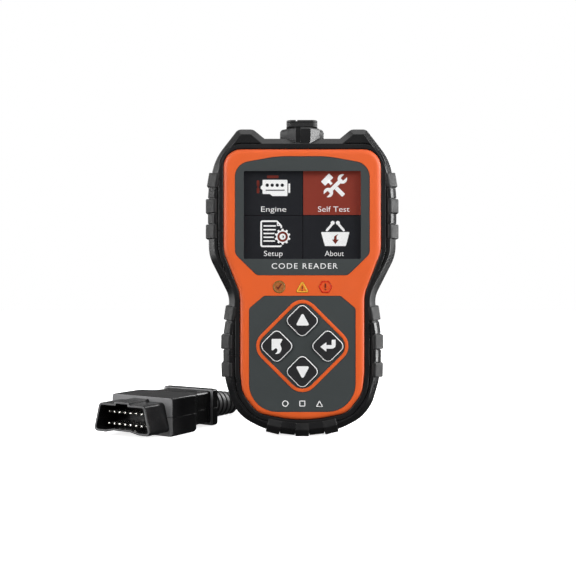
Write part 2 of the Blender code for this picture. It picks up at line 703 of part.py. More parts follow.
def shroud_outline():
    """The D-shaped mouth: narrower on top, with a key on its top edge and a shallow arch in its floor."""
    half = ((6, 3.7, 6), (12, 2.5, 6), (20.8, 2.5, 2.2), (16.6, 18.8, 2.6))
    half += ((5.9, 18.8, 0.4), (5.3, 20.1, 0.6))
    return rounded(mirrored(half), 30)


def shroud_inside():
    """The space inside the shroud, its wall and its key's wall left standing."""
    half = ((6, 4.9, 6), (12, 3.9, 6), (18.9, 3.9, 1.2), (15.3, 17.3, 1.4))
    half += ((4.3, 17.3, 0.3), (4, 18.6, 0.3))
    return rounded(mirrored(half), 30)


def plug():
    """The 16-pin plug, lying on its floor beside the reader."""
    frame = bpy.data.objects.new("plug_frame", None)
    bpy.data.collections["obd_code_reader"].objects.link(frame)
    frame.location = Vector(PLUG_PLACE) * MM
    frame.rotation_euler.z = math.radians(PLUG_TURN)
    plug_cover("plug_cover_bottom", -1, PLUG_SPLIT - GAP / 2, frame)
    plug_cover("plug_cover_top", PLUG_SPLIT + GAP / 2, 25, frame)
    outside, inside = shroud_outline(), shroud_inside()
    shroud = plate("plug_shroud", outside, SHROUD_FRONT, SHROUD_BACK, [inside], parent=frame)
    finish(shroud, "plug_plastic", BLACK)
    carrier = plate("pin_carrier", grown(inside, -GAP), -1.0, SHROUD_BACK, parent=frame)
    places = [((column - 3.5) * PIN_PITCH, z) for z in PIN_ROWS for column in range(8)]
    slots = together("pin_slots", [pin_block("slot", place, -5, 10, GAP, 0, frame) for place in places])
    finish(cut(carrier, slots), "plug_plastic", BLACK)
    for number, place in enumerate(places, 1):
        pin = pin_block(f"pin_{number:02d}", place, PIN_FRONT, PIN_BACK, 0, 0.35, frame)
        finish(pin, "pin_metal", METAL)
    plug_relief(frame)


def pin_block(name, place, front, back, room, edge, frame):
    """A block round a pin's axis, wider than the pin by room on each side."""
    x, z = place
    half_width, half_height = PIN_SIZE[0] / 2 + room, PIN_SIZE[1] / 2 + room
    low = (x - half_width, front, z - half_height)
    high = (x + half_width, back, z + half_height)
    return block(name, low, high, edge, frame)


def plug_relief(frame):
    """The strain relief: a root held between the covers, and a ribbed, tapered sleeve that tilts down."""
    start = PLUG_LENGTH + GAP
    root = ((0, start + 2), (4.7, start + 2), (4.7, 45.2), (6.0, 45.2), (6.0, 43.5), (0, 43.5))
    relief = turned("plug_strain_relief", root, (0, 0, PLUG_SPLIT), "Y", 16, frame)
    length = RELIEF_END - start
    profile = [(0, length), (3.8, length), (4.2, length - 0.6)]
    rings = 5
    pitch = (length - 4.8) / rings
    for ring in range(rings):
        far = length - 3.5 - ring * pitch
        radius = 6.4 + 2.5 * (ring + 0.5) / rings
        neck = radius - 1.1
        profile += [(neck, far), (neck, far - 1.2), (radius, far - 1.5), (radius, far - pitch + 0.3)]
    profile += [(9.0, 0.9), (0, 0.9)]
    sleeve = turned("relief_sleeve", profile, (0, start, PLUG_SPLIT), "Y", 16, frame)
    sleeve.rotation_euler.x -= math.radians(RELIEF_TILT)
    join(relief, sleeve)
    return finish(relief, "relief_rubber", BLACK)


def build():
    clear_scene()
    rubber_boot()
    front_housing()
    rear_housing()
    housing_screws()
    screen()
    keypad()
    for name, place in KEY_PLACES.items():
        key(name, place)
    for name, x in zip(LIGHTS, (-LIGHT_SPACING, 0, LIGHT_SPACING)):
        status_light(name, LIGHTS[name], x)
    electronics()
    cable_outlet()
    cable()
    coil()
    plug()


build()
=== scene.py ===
"""The looks of a handheld car diagnostic code reader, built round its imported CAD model.

Sizes are in millimetres, and the helpers turn them into metres. X runs across the reader, Z up its height
and +Y into its depth, so the face looks towards -Y.
"""

import math

import bmesh
import bpy
from mathutils import Matrix, Vector


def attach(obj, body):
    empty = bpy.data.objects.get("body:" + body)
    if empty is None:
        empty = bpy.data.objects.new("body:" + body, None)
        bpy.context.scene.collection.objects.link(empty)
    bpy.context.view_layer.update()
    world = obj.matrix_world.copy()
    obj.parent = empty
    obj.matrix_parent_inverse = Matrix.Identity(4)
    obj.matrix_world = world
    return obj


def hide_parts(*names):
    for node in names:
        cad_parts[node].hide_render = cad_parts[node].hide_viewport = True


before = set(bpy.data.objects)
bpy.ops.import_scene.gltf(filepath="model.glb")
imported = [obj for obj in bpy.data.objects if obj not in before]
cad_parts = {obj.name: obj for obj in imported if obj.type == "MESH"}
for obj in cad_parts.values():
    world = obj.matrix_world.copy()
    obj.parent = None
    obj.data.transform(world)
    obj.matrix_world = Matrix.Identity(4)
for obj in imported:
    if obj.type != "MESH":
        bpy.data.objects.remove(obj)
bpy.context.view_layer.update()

MM = 0.001
GAP = 0.3
CLEAR = 25.0  # how far a cutter reaches, well outside the reader

# Depths of the reader's layers, from the face towards the back.
KEY_TOP = -18.0
LIGHT_TOP = -17.15
FACE = -17.0
OVERLAY_TOP = -16.9
LENS_FRONT = -16.0
LENS_BACK = -14.8
BOOT_FRONT = -15.6
FACE_BACK = -13.4
DISPLAY_FRONT = -13.1
DISPLAY_BACK = -11.3
BOOT_BACK = 18.0
HOUSING_BACK = 16.2

# Half outlines, from the bottom middle round the right side: x, z, corner radius.
FACE_HALF = ((0, 8.5, 70), (24.5, 13.6, 11), (33, 24.5, 16), (34.2, 36, 30), (34.2, 79.5, 22))
FACE_HALF += ((43.4, 103, 18), (43.4, 159.5, 9.5))
BOOT_HALF = ((0, 0.9, 0), (20, 3.2, 40), (37.5, 12.5, 24), (43.6, 33, 40), (43.9, 56, 60))
BOOT_HALF += ((40.4, 77.5, 14), (52.3, 101, 22), (52.3, 136, 60), (49.2, 154.4, 30))
BOOT_HALF += ((36, 171.5, 4.2), (27.4, 171.5, 4.2), (21, 166.3, 0))
SCREEN_OVERLAY_HALF = ((25.2, 89.9, 4), (37.2, 101.6, 5), (37.2, 151.4, 8.5), (14, 155.6, 60))
KEYPAD_OVERLAY_HALF = ((29.4, 14.3, 15.5), (29.4, 71.5, 2.5), (21.2, 78.4, 2.5))

SCREEN_SIZE = (64.8, 48.6)
SCREEN_Z = 123.2
MODULE_SIZE = (69.2, 56.0)
TILE_CORNER = (0.35, 123.3)  # where the four tiles of the picture meet
TILE_GAP = 0.24  # half the dark line between two tiles
PRINT_HEIGHT = 4.3
KEYPAD_Z = 50.7
MARKS_Z = 18.9
KEY_REACH = 14.1
KEY_HALF_SIDE = 7.13
KEY_CORNER = 3.4
RING_HALF_SIDE = 20.7
RING_CORNER = 9.0
RING_WIDTH = 1.9
LIGHT_Z = 83.4
LIGHT_SPACING = 12.8
LIGHT_RADIUS = 3.4
SCREW_PLACES = ((37.0, 153.0), (-37.0, 153.0), (27.2, 28.0), (-27.2, 28.0))
SCREW_WELL_RADIUS = 3.3
LABEL_SIZE = (48, 62)
LABEL_Z = 102

# Ribs of the boot, by height on its sides and by place under its base, with the pads between them.
RIBS = ((143.0, 128.4, 114.2), (69.0, 52.8, 37.2))
RIB_LENGTH = 8.0
RIB_HEIGHT = 1.5
PAD_LENGTHS = (5.4, 6.6)
FOOT_PLACES = (-16.4, 0.0, 16.4)
FOOT_LENGTH = 7.6
FOOT_PAD_PLACES = (-8.2, 8.2)
FOOT_PAD_LENGTH = 8.4

# Cable outlet in the middle of the top.
OUTLET_RADIUS = 8.5
OUTLET_TOP = 177.4
OUTLET_WIDTH = 17.6
COLLAR_RADIUS = 12.5
COLLAR_FOOT = 161.2
COLLAR_TOP = 172.6
BROW_TOP = 172.0
SPOUT_Z = 170.6
SPOUT_END = 30.0

# Cable, and the coil that takes its spare length.
CABLE_RADIUS = 2.7
COIL_CENTRE = (0.0, 90.0)
COIL_RADIUS = 30.0
COIL_TURNS = 2.625
COIL_LIFT = 0.9
TIE_WIDTH = 7.0
DROP = ((0, 30.3, 170.6), (0, 37, 170.2), (-0.5, 48.5, 166.2), (-1.5, 56.5, 157), (-3.5, 60, 144))
DROP += ((-8, 60.5, 120), (-13.5, 60, 95), (-18.5, 60, 72), (-22.5, 60, 55), (-23.6, 60, 43))
DROP += ((-21.5, 60.1, 33.5), (-16, 60.2, 25.6), (-8.3, 60.2, 20.2))
LEAD = ((-29.5, 102.5, 3.6), (-35.3, 94, 4.7), (-38.7, 85.2, 6.1))

# The plug, in its own frame: the mating face looks towards -Y and the origin is below that face.
PLUG_PLACE = (-91.2, -4.4, 0.0)
PLUG_TURN = -31.0
PLUG_WIDTH = 44.5
PLUG_HEIGHT = 21.6
PLUG_LENGTH = 48.0
PLUG_SPLIT = 10.8
PLUG_WAIST = 16.8
PLUG_COLLAR = 19.0
SHROUD_FRONT = -16.5
SHROUD_BACK = 5.0
PIN_PITCH = 4.0
PIN_ROWS = (13.1, 6.5)
PIN_FRONT = -11.5
PIN_BACK = 13.0
PIN_SIZE = (1.6, 1.3)
RELIEF_END = 92.0
RELIEF_TILT = 4.6  # the relief drops towards the floor
SHROUD_OUTSIDE = ((6, 3.7, 6), (12, 2.5, 6), (20.8, 2.5, 2.2), (16.6, 18.8, 2.6))
SHROUD_OUTSIDE += ((5.9, 18.8, 0.4), (5.3, 20.1, 0.6))
SHROUD_INSIDE = ((6, 4.9, 6), (12, 3.9, 6), (18.9, 3.9, 1.2), (15.3, 17.3, 1.4))
SHROUD_INSIDE += ((4.3, 17.3, 0.3), (4, 18.6, 0.3))

CAMERA_PLACE = (-7.9, -487.0, 82.8)
CAMERA_LENS = 53.125

FACING = {
    "Y": Matrix(((1, 0, 0, 0), (0, 0, -1, 0), (0, 1, 0, 0), (0, 0, 0, 1))),
    "Z": Matrix.Identity(4),
}
AXES = {"Y": Vector((0, 1, 0)), "Z": Vector((0, 0, 1))}
PLUG_FRAME = Matrix.Translation(Vector(PLUG_PLACE) * MM) @ Matrix.Rotation(math.radians(PLUG_TURN), 4, "Z")


# Outlines


def rounded(corners, parts=8):
    """The points of a closed outline whose corners are x, z and radius, each an arc of so many parts."""
    points = []
    for index, (x, z, radius) in enumerate(corners):
        here = Vector((x, z))
        if radius == 0:
            points.append(here)
            continue
        before = (Vector(corners[index - 1][:2]) - here).normalized()
        after = (Vector(corners[(index + 1) % len(corners)][:2]) - here).normalized()
        half = before.angle(after) / 2
        centre = here + (before + after).normalized() * radius / math.sin(half)
        spokes = [here + side * radius / math.tan(half) - centre for side in (before, after)]
        start, end = (math.atan2(spoke.y, spoke.x) for spoke in spokes)
        sweep = (end - start + math.pi) % math.tau - math.pi
        for part in range(parts + 1):
            turn = start + sweep * part / parts
            points.append(centre + radius * Vector((math.cos(turn), math.sin(turn))))
    return points


def mirrored(half):
    """The corners of a symmetric outline, from its right half."""
    return list(half) + [(-x, z, radius) for x, z, radius in reversed(half) if x > 0]


def grown(points, distance):
    """The outline moved outwards by distance, or inwards where that is negative."""
    moved = []
    for before, here, after in zip(points[-1:] + points[:-1], points, points[1:] + points[:1]):
        first = (here - before).normalized()
        along = (first + (after - here).normalized()).normalized()
        moved.append(here + Vector((along.y, -along.x)) * distance / along.dot(first))
    return moved


def shifted(points, x, z):
    return [point + Vector((x, z)) for point in points]


def turned_by(points, degrees):
    turn = Matrix.Rotation(math.radians(degrees), 2)
    return [turn @ point for point in points]


def polygon(sides, radius, corner, turn=0):
    spokes = [math.radians(turn + 360 * side / sides) for side in range(sides)]
    return rounded([(radius * math.cos(k), radius * math.sin(k), corner) for k in spokes], 6)


def circle(radius, middle=(0, 0), sides=40):
    spokes = [math.tau * side / sides for side in range(sides)]
    return shifted([Vector((radius * math.cos(k), radius * math.sin(k))) for k in spokes], *middle)


def rectangle(width, height, corner=0.0, middle=(0, 0)):
    x, z = width / 2, height / 2
    corners = [(-x, -z, corner), (x, -z, corner), (x, z, corner), (-x, z, corner)]
    return shifted(rounded(corners, 6), *middle)


def stroke(start, end, width):
    """A bar with round ends from start to end."""
    start, end = Vector(start), Vector(end)
    along = (end - start).normalized() * width / 2
    spokes = [math.radians(90 + 180 * k / 8) for k in range(9)]
    cap = [Matrix.Rotation(k, 2) @ along for k in spokes]
    return [start + spoke for spoke in cap] + [end - spoke for spoke in cap]


FACE_OUTLINE = rounded(mirrored(FACE_HALF))
HOUSING_OUTLINE = grown(FACE_OUTLINE, 1.6)
BOOT_OUTLINE = rounded(mirrored(BOOT_HALF))
SCREEN_OVERLAY = rounded(mirrored(SCREEN_OVERLAY_HALF))
KEYPAD_OVERLAY = rounded(mirrored(KEYPAD_OVERLAY_HALF))
KEY_OUTLINE = polygon(4, KEY_HALF_SIDE * math.sqrt(2), KEY_CORNER)
KEYS = {"up": (0, 1), "down": (0, -1), "back": (-1, 0), "enter": (1, 0)}
KEY_PLACES = {name: (x * KEY_REACH, KEYPAD_Z + z * KEY_REACH) for name, (x, z) in KEYS.items()}


def light_outline(name, inset=0.0):
    """The outline of one of the three lights, moved inwards by inset."""
    if name == "ready":
        return shifted(circle(LIGHT_RADIUS - inset), -LIGHT_SPACING, LIGHT_Z)
    if name == "caution":
        return shifted(polygon(3, 4.4 - 2 * inset, max(0.8 - inset, 0.15), 90), 0, LIGHT_Z - 0.9)
    return shifted(polygon(6, 3.8 - 1.155 * inset, max(0.5 - inset, 0.15)), LIGHT_SPACING, LIGHT_Z)


LIGHTS = ("ready", "caution", "fault")


# Materials


class Surface:
    """A procedural material with its nodes, made from a few numbers."""

    def __init__(self, name):
        self.name = name
        self.material = bpy.data.materials.new(name)
        self.material.use_nodes = True
        self.tree = self.material.node_tree
        self.shader = self.tree.nodes["Principled BSDF"]
        self.place = self.node("TexCoord").outputs["Object"]

    def node(self, kind, **values):
        made = self.tree.nodes.new("ShaderNode" + kind)
        for socket, value in values.items():
            made.inputs[socket.replace("_", " ")].default_value = value
        return made

    def link(self, output, end):
        self.tree.links.new(output, end)
        return end

    def noise(self, size, detail=2.0, stretch=(1, 1, 1)):
        """Noise whose patches are about size millimetres across."""
        mapping = self.node("Mapping", Scale=stretch)
        self.link(self.place, mapping.inputs["Vector"])
        made = self.node("TexNoise", Scale=1 / (size * MM), Detail=detail)
        self.link(mapping.outputs[0], made.inputs["Vector"])
        return made.outputs[0]

    def ranged(self, value, low, high, start=0.3, end=0.7):
        made = self.node("MapRange", From_Min=start, From_Max=end, To_Min=low, To_Max=high)
        self.link(value, made.inputs["Value"])
        return made.outputs[0]

    def mixed(self, share, first, second):
        made = self.tree.nodes.new("ShaderNodeMix")
        made.data_type = "RGBA"
        for socket, colour in ((made.inputs[6], first), (made.inputs[7], second)):
            if isinstance(colour, tuple):
                socket.default_value = (*colour, 1)
            else:
                self.link(colour, socket)
        self.link(share, made.inputs[0])
        return made.outputs[2]

    def bump(self, height, depth, strength=1.0, under=None):
        """Raises the surface by up to depth millimetres."""
        made = self.node("Bump", Distance=depth * MM, Strength=strength)
        self.link(height, made.inputs["Height"])
        if under:
            self.link(under, made.inputs["Normal"])
        return made.outputs[0]


def surface(name, colour, tone, rough, grain, depth, patch, metallic=0.0, gloss=0.5, sheen=0.0):
    """Colour that drifts by a share of tone, roughness that drifts, and a grain of this size and depth."""
    made = Surface(name)
    drift = made.ranged(made.noise(patch, 3), 0, 1)
    fine = made.noise(grain, 3)
    light = tuple(min(1, part * (1 + tone)) for part in colour)
    dark = tuple(part * (1 - tone) for part in colour)
    base = made.mixed(drift, dark, light)
    speck = made.ranged(fine, 0, 1, 0.25, 0.75)
    base = made.mixed(made.ranged(speck, 0.0, 0.5), base, light)
    made.link(base, made.shader.inputs["Base Color"])
    made.link(made.ranged(made.noise(patch * 0.6, 4), *rough), made.shader.inputs["Roughness"])
    coarse = made.bump(made.noise(grain * 6, 2), depth * 1.5, 0.4)
    made.link(made.bump(fine, depth, 0.7, coarse), made.shader.inputs["Normal"])
    made.shader.inputs["Metallic"].default_value = metallic
    made.shader.inputs["Specular IOR Level"].default_value = gloss
    made.shader.inputs["Sheen Weight"].default_value = sheen
    return made


def glowing(name, colour, strength):
    """A lit part of the display: its own colour with a faint grain, and a little light of its own."""
    made = surface(name, colour, 0.04, (0.35, 0.45), 0.3, 0.0, 9, gloss=0.2)
    made.shader.inputs["Emission Color"].default_value = (*colour, 1)
    made.shader.inputs["Emission Strength"].default_value = strength
    return made


def orange_plastic():
    """Satin orange with a spark-eroded grain, and painted shade where the edge turns down into the boot."""
    made = surface("orange_plastic", (0.86, 0.13, 0.024), 0.04, (0.36, 0.46), 0.35, 0.012, 22)
    shader = made.shader
    base = shader.inputs["Base Color"].links[0].from_socket
    split = made.node("SeparateXYZ")
    made.link(made.place, split.inputs[0])
    # Painted shade: the colour darkens to a deep brown as the rolled edge drops from the face towards the
    # boot.
    edge_shade = made.ranged(split.outputs[1], 0, 1, -16.9 * MM, -15.2 * MM)
    made.link(made.mixed(edge_shade, base, (0.36, 0.035, 0.008)), shader.inputs["Base Color"])
    return made


def woven(name, colour, size):
    """A woven strap: two crossing waves of threads."""
    made = surface(name, colour, 0.25, (0.75, 0.9), 0.2, 0.02, 5, sheen=0.3)
    waves = []
    for direction in ("X", "Z"):
        wave = made.node("TexWave", Scale=0.5 / (size * MM), Distortion=0.6, Detail_Scale=2.0)
        wave.bands_direction = direction
        made.link(made.place, wave.inputs["Vector"])
        waves.append(wave.outputs["Fac"])
    both = made.node("Math")
    both.operation = "MAXIMUM"
    for wave, socket in zip(waves, both.inputs):
        made.link(wave, socket)
    made.link(made.bump(both.outputs[0], 0.12, 0.9), made.shader.inputs["Normal"])
    return made


def clear_acrylic():
    """Clear plastic with a faint haze of fine scratches in its gloss."""
    made = surface("clear_acrylic", (0.012, 0.012, 0.014), 0.02, (0.03, 0.1), 2.5, 0.0, 30)
    made.shader.inputs["Alpha"].default_value = 0.12
    made.material.surface_render_method = "BLENDED"
    return made


def circuit_board():
    """Green solder mask over faint copper tracks."""
    made = surface("circuit_board", (0.01, 0.11, 0.04), 0.2, (0.3, 0.42), 0.3, 0.01, 12)
    brick = made.node("TexBrick", Scale=1 / (6 * MM))
    brick.inputs["Color1"].default_value = (0.008, 0.09, 0.03, 1)
    brick.inputs["Color2"].default_value = (0.012, 0.13, 0.045, 1)
    brick.inputs["Mortar"].default_value = (0.03, 0.22, 0.07, 1)
    brick.inputs["Mortar Size"].default_value = 0.03
    made.link(made.place, brick.inputs["Vector"])
    made.link(brick.outputs[0], made.shader.inputs["Base Color"])
    return made


def reader_materials():
    black = (0.0105, 0.0105, 0.0112)
    return [
        surface("boot_rubber", black, 0.18, (0.25, 0.34), 0.35, 0.008, 16),
        surface("rib_rubber", (0.0105, 0.0105, 0.011), 0.3, (0.42, 0.55), 0.6, 0.09, 10),
        surface("rear_plastic", (0.013, 0.013, 0.0138), 0.2, (0.45, 0.58), 0.45, 0.05, 18),
        surface("overlay_grey", (0.055, 0.063, 0.064), 0.05, (0.42, 0.5), 0.3, 0.01, 20, gloss=0.3),
        surface("key_rubber", (0.021, 0.021, 0.023), 0.12, (0.4, 0.5), 0.3, 0.012, 6, gloss=0.35),
        surface("print_white", (0.97, 0.97, 0.97), 0.03, (0.4, 0.5), 0.25, 0.004, 4, gloss=0.3),
        surface("ring_orange", (0.86, 0.13, 0.024), 0.04, (0.34, 0.44), 0.3, 0.01, 12),
        surface("cable_jacket", black, 0.22, (0.45, 0.58), 0.3, 0.02, 9, sheen=0.1),
        surface("relief_rubber", black, 0.22, (0.42, 0.54), 0.3, 0.025, 9),
        surface("plug_plastic", (0.0065, 0.0065, 0.007), 0.2, (0.2, 0.27), 0.35, 0.005, 12, gloss=0.32),
        # Painted sheen: a lighter grey for the plug's front faces, in place of a lamp's reflection on the
        # black plastic.
        surface("plug_face_painted_sheen", (0.2, 0.2, 0.204), 0.2, (0.4, 0.5), 0.35, 0.03, 8),
        # Painted highlight: a lighter grey for the thin front rim of the plug's mouth.
        surface("plug_rim_painted_highlight", (0.12, 0.12, 0.122), 0.2, (0.4, 0.5), 0.35, 0.03, 8),
        orange_plastic(),
        woven("tie_strap", (0.018, 0.018, 0.02), 0.7),
    ]


def display_materials():
    return [
        clear_acrylic(),
        surface("display_glass", (0.006, 0.006, 0.008), 0.1, (0.12, 0.2), 1.5, 0.0, 20),
        glowing("tile_dark", (0.016, 0.017, 0.0205), 0.4),
        glowing("tile_red", (0.29, 0.045, 0.028), 0.35),
        glowing("icon_white", (0.95, 0.95, 0.95), 0.5),
        glowing("icon_red", (0.2, 0.03, 0.02), 0.3),
    ]


def inner_materials():
    return [
        circuit_board(),
        surface("backlight_frame", (0.62, 0.6, 0.56), 0.08, (0.25, 0.4), 0.6, 0.01, 8, 1.0),
        surface("screw_steel", (0.42, 0.41, 0.4), 0.1, (0.25, 0.38), 0.3, 0.01, 3, 1.0),
        surface("pin_metal", (0.82, 0.8, 0.76), 0.08, (0.16, 0.26), 0.3, 0.004, 2, 1.0),
        surface("dome_steel", (0.6, 0.58, 0.54), 0.08, (0.2, 0.3), 0.4, 0.004, 3, 1.0),
        surface("led_body", (0.72, 0.7, 0.6), 0.06, (0.3, 0.42), 0.3, 0.005, 2),
        surface("guide_plastic", (0.02, 0.02, 0.023), 0.15, (0.4, 0.5), 0.35, 0.02, 6),
        surface("chip_black", (0.02, 0.02, 0.022), 0.2, (0.45, 0.6), 0.2, 0.02, 3),
        surface("header_plastic", (0.7, 0.68, 0.6), 0.06, (0.35, 0.5), 0.35, 0.01, 4),
    ]


def light_materials():
    """The rim and the face of each status light, by colour and by how far the colour drifts."""
    tints = {
        "lens_ready": ((0.3, 0.16, 0.04), 0.12),
        "ready_face": ((0.42, 0.13, 0.035), 0.1),
        "lens_caution": ((0.92, 0.5, 0.05), 0.06),
        "caution_face": ((0.85, 0.2, 0.03), 0.06),
        "lens_fault": ((0.72, 0.035, 0.012), 0.06),
        "fault_face": ((0.84, 0.11, 0.025), 0.06),
    }
    made = [surface(name, *tint, (0.22, 0.32), 0.3, 0.004, 2) for name, tint in tints.items()]
    return made + [surface("mark_dark", (0.12, 0.012, 0.006), 0.1, (0.35, 0.45), 0.3, 0.004, 2)]


FOUND = reader_materials() + display_materials() + inner_materials() + light_materials()
MATERIALS = {one.name: one.material for one in FOUND}


# Solids


def new_object(name, mesh, *materials):
    made = bpy.data.objects.new(name, mesh)
    for one in materials:
        mesh.materials.append(MATERIALS[one])
    bpy.context.scene.collection.objects.link(made)
    return made


def from_bmesh(name, shape, *materials, sharp=32):
    """The finished mesh: normals outwards, smooth but for its sharp edges."""
    bmesh.ops.recalc_face_normals(shape, faces=shape.faces)
    mesh = bpy.data.meshes.new(name)
    shape.to_mesh(mesh)
    shape.free()
    mesh.shade_smooth()
    mesh.set_sharp_from_angle(angle=math.radians(sharp))
    return new_object(name, mesh, *materials)


def loft(name, rings, *materials, loop=False, bands=None, sharp=32):
    """A solid through rings of 3-D points, closed by a cap at each end, or by joining the last to the first.
    bands gives the material of each stretch between two rings, and of the last cap."""
    shape = bmesh.new()
    rows = [[shape.verts.new(Vector(point) * MM) for point in ring] for ring in rings]
    pairs = list(zip(rows, rows[1:])) + ([(rows[-1], rows[0])] if loop else [])
    for index, (low, high) in enumerate(pairs):
        for a, b, c, d in zip(low, low[1:] + low[:1], high[1:] + high[:1], high):
            face = shape.faces.new((a, b, c, d))
            face.material_index = bands[index] if bands else 0
    if not loop:
        shape.faces.new(rows[0]).material_index = bands[0] if bands else 0
        shape.faces.new(rows[-1]).material_index = bands[-1] if bands else 0
    return from_bmesh(name, shape, *materials, sharp=sharp)


def skin(name, outline, sections, *materials, **options):
    """A solid through sections of this outline: how far each is moved outwards, and its y."""
    rings = [[(p.x, y, p.y) for p in grown(outline, offset)] for offset, y in sections]
    return loft(name, rings, *materials, **options)


def plate(name, outlines, start, end, *materials, axis="Y", edge=0.0):
    """A flat solid of these outlines, those inside others being holes, with its edges rounded by edge."""
    curve = bpy.data.curves.new(name, "CURVE")
    curve.dimensions = "2D"
    curve.fill_mode = "BOTH"
    curve.extrude = (abs(end - start) / 2 - edge) * MM
    curve.bevel_depth = edge * MM
    curve.bevel_resolution = 1
    for points in outlines:
        spline = curve.splines.new("POLY")
        spline.points.add(len(points) - 1)
        for spot, point in zip(spline.points, points):
            spot.co = (point[0] * MM, point[1] * MM, 0, 1)
        spline.use_cyclic_u = True
    middle = Matrix.Translation(AXES[axis] * (start + end) / 2 * MM)
    return from_curve(name, curve, middle @ FACING[axis], *materials)


def from_curve(name, curve, turn, *materials):
    drawn = bpy.data.objects.new(name + "_curve", curve)
    bpy.context.scene.collection.objects.link(drawn)
    bpy.context.view_layer.update()
    mesh = bpy.data.meshes.new_from_object(drawn.evaluated_get(bpy.context.evaluated_depsgraph_get()))
    bpy.data.objects.remove(drawn)
    mesh.transform(turn)
    shape = bmesh.new()
    shape.from_mesh(mesh)
    bmesh.ops.remove_doubles(shape, verts=shape.verts, dist=0.000002)
    bmesh.ops.dissolve_limit(shape, angle_limit=0.002, verts=shape.verts, edges=shape.edges)
    return from_bmesh(name, shape, *materials)


def round_edges(shape, edge):
    bmesh.ops.bevel(shape, geom=shape.edges[:], offset=edge * MM, segments=3, profile=0.5, affect="EDGES")


def block(name, low, high, edge, *materials):
    """A box between two corners, its edges rounded by edge."""
    low, high = Vector(low) * MM, Vector(high) * MM
    shape = bmesh.new()
    place = Matrix.Translation((low + high) / 2) @ Matrix.Diagonal((*(high - low), 1))
    bmesh.ops.create_cube(shape, size=1, matrix=place)
    round_edges(shape, edge)
    return from_bmesh(name, shape, *materials)


def prism(name, section, start, end, edge, *materials):
    """A bar along Z whose section is a polygon of x and y, with every edge rounded."""
    shape = bmesh.new()
    ends = [[shape.verts.new((x * MM, y * MM, z * MM)) for x, y in section] for z in (start, end)]
    shape.faces.new(ends[0])
    shape.faces.new(ends[1])
    for a, b, c, d in zip(ends[0], ends[0][1:] + ends[0][:1], ends[1][1:] + ends[1][:1], ends[1]):
        shape.faces.new((a, b, c, d))
    bmesh.ops.recalc_face_normals(shape, faces=shape.faces)
    round_edges(shape, edge)
    return from_bmesh(name, shape, *materials)


def lathe(name, profile, *materials, middle=(0, 0, 0), axis="Z", sides=64, sharp=32):
    """A turned solid from a profile of radius and height, whose ends lie on the axis."""
    rings = []
    for radius, height in profile[1:-1]:
        spokes = [math.tau * side / sides for side in range(sides)]
        rings.append([(radius * math.cos(k), radius * math.sin(k), height) for k in spokes])
    made = loft(name, rings, *materials, sharp=sharp)
    turn = Matrix.Rotation(math.radians(-90 if axis == "Y" else 0), 4, "X")
    made.data.transform(Matrix.Translation(Vector(middle) * MM) @ turn)
    return made


def moved(piece, matrix):
    piece.data.transform(matrix)
    return piece


def boolean(target, operation, *tools):
    """Cuts or joins for good, and removes the tools."""
    for tool in tools:
        step = target.modifiers.new(operation.lower(), "BOOLEAN")
        step.operation = operation
        step.solver = "EXACT"
        step.object = tool
    bpy.context.view_layer.update()
    mesh = bpy.data.meshes.new_from_object(target.evaluated_get(bpy.context.evaluated_depsgraph_get()))
    target.modifiers.clear()
    target.data = mesh
    for tool in tools:
        bpy.data.objects.remove(tool)
    mesh.shade_smooth()
    mesh.set_sharp_from_angle(angle=math.radians(32))
    return target


def cut(target, *tools):
    return boolean(target, "DIFFERENCE", *tools)


def assembled(name, pieces):
    """One object of several meshes, which keep their own materials."""
    shape, materials = bmesh.new(), []
    for piece in pieces:
        mesh = piece.data.copy()
        mesh.transform(piece.matrix_basis)
        for one in piece.data.materials:
            if one not in materials:
                materials.append(one)
        places = [materials.index(one) for one in piece.data.materials]
        for face in mesh.polygons:
            face.material_index = places[face.material_index] if places else 0
        shape.from_mesh(mesh)
    mesh = bpy.data.meshes.new(name)
    shape.to_mesh(mesh)
    shape.free()
    for one in materials:
        mesh.materials.append(one)
    for piece in pieces:
        bpy.data.objects.remove(piece)
    return new_object(name, mesh)


def placed(piece, slot, *nodes, body="root"):
    """The finished piece rides on its body and stands for these CAD nodes."""
    if piece.type == "MESH":
        # Weighted normals keep flat faces flat in the light, next to their rounded edges.
        step = piece.modifiers.new("flat_faces", "WEIGHTED_NORMAL")
        step.keep_sharp = True
        step.weight = 80
    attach(piece, body)
    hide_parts(*nodes)
    return piece


def smooth_route(points, spacing):
    """Evenly spaced points on a smooth curve through these points."""
    knots = [Vector(point) for point in points]
    knots = [2 * knots[0] - knots[1], *knots, 2 * knots[-1] - knots[-2]]
    fine = []
    for a, b, c, d in zip(knots, knots[1:], knots[2:], knots[3:]):
        for step in range(20):
            t = step / 20
            bend = (2 * a - 5 * b + 4 * c - d) * t**2 + (3 * b - a - 3 * c + d) * t**3
            fine.append((2 * b + (c - a) * t + bend) / 2)
    fine.append(knots[-2])
    route = [fine[0]]
    for point in fine[1:-1]:
        if (point - route[-1]).length >= spacing and (point - fine[-1]).length >= spacing / 2:
            route.append(point)
    return route + [fine[-1]]


# Camera, light and floor


def camera():
    seen = bpy.data.cameras.new("camera")
    seen.lens = CAMERA_LENS
    seen.sensor_width = 36
    made = bpy.data.objects.new("camera", seen)
    made.location = Vector(CAMERA_PLACE) * MM
    made.rotation_euler = (math.radians(90), 0, 0)
    bpy.context.scene.collection.objects.link(made)
    bpy.context.scene.camera = made


def softbox(name, place, target, width, height, power):
    lamp = bpy.data.lights.new(name, "AREA")
    lamp.shape = "RECTANGLE"
    lamp.size, lamp.size_y = width, height
    lamp.energy = power
    made = bpy.data.objects.new(name, lamp)
    made.location = place
    made.rotation_euler = (Vector(target) - Vector(place)).to_track_quat("-Z", "Y").to_euler()
    bpy.context.scene.collection.objects.link(made)


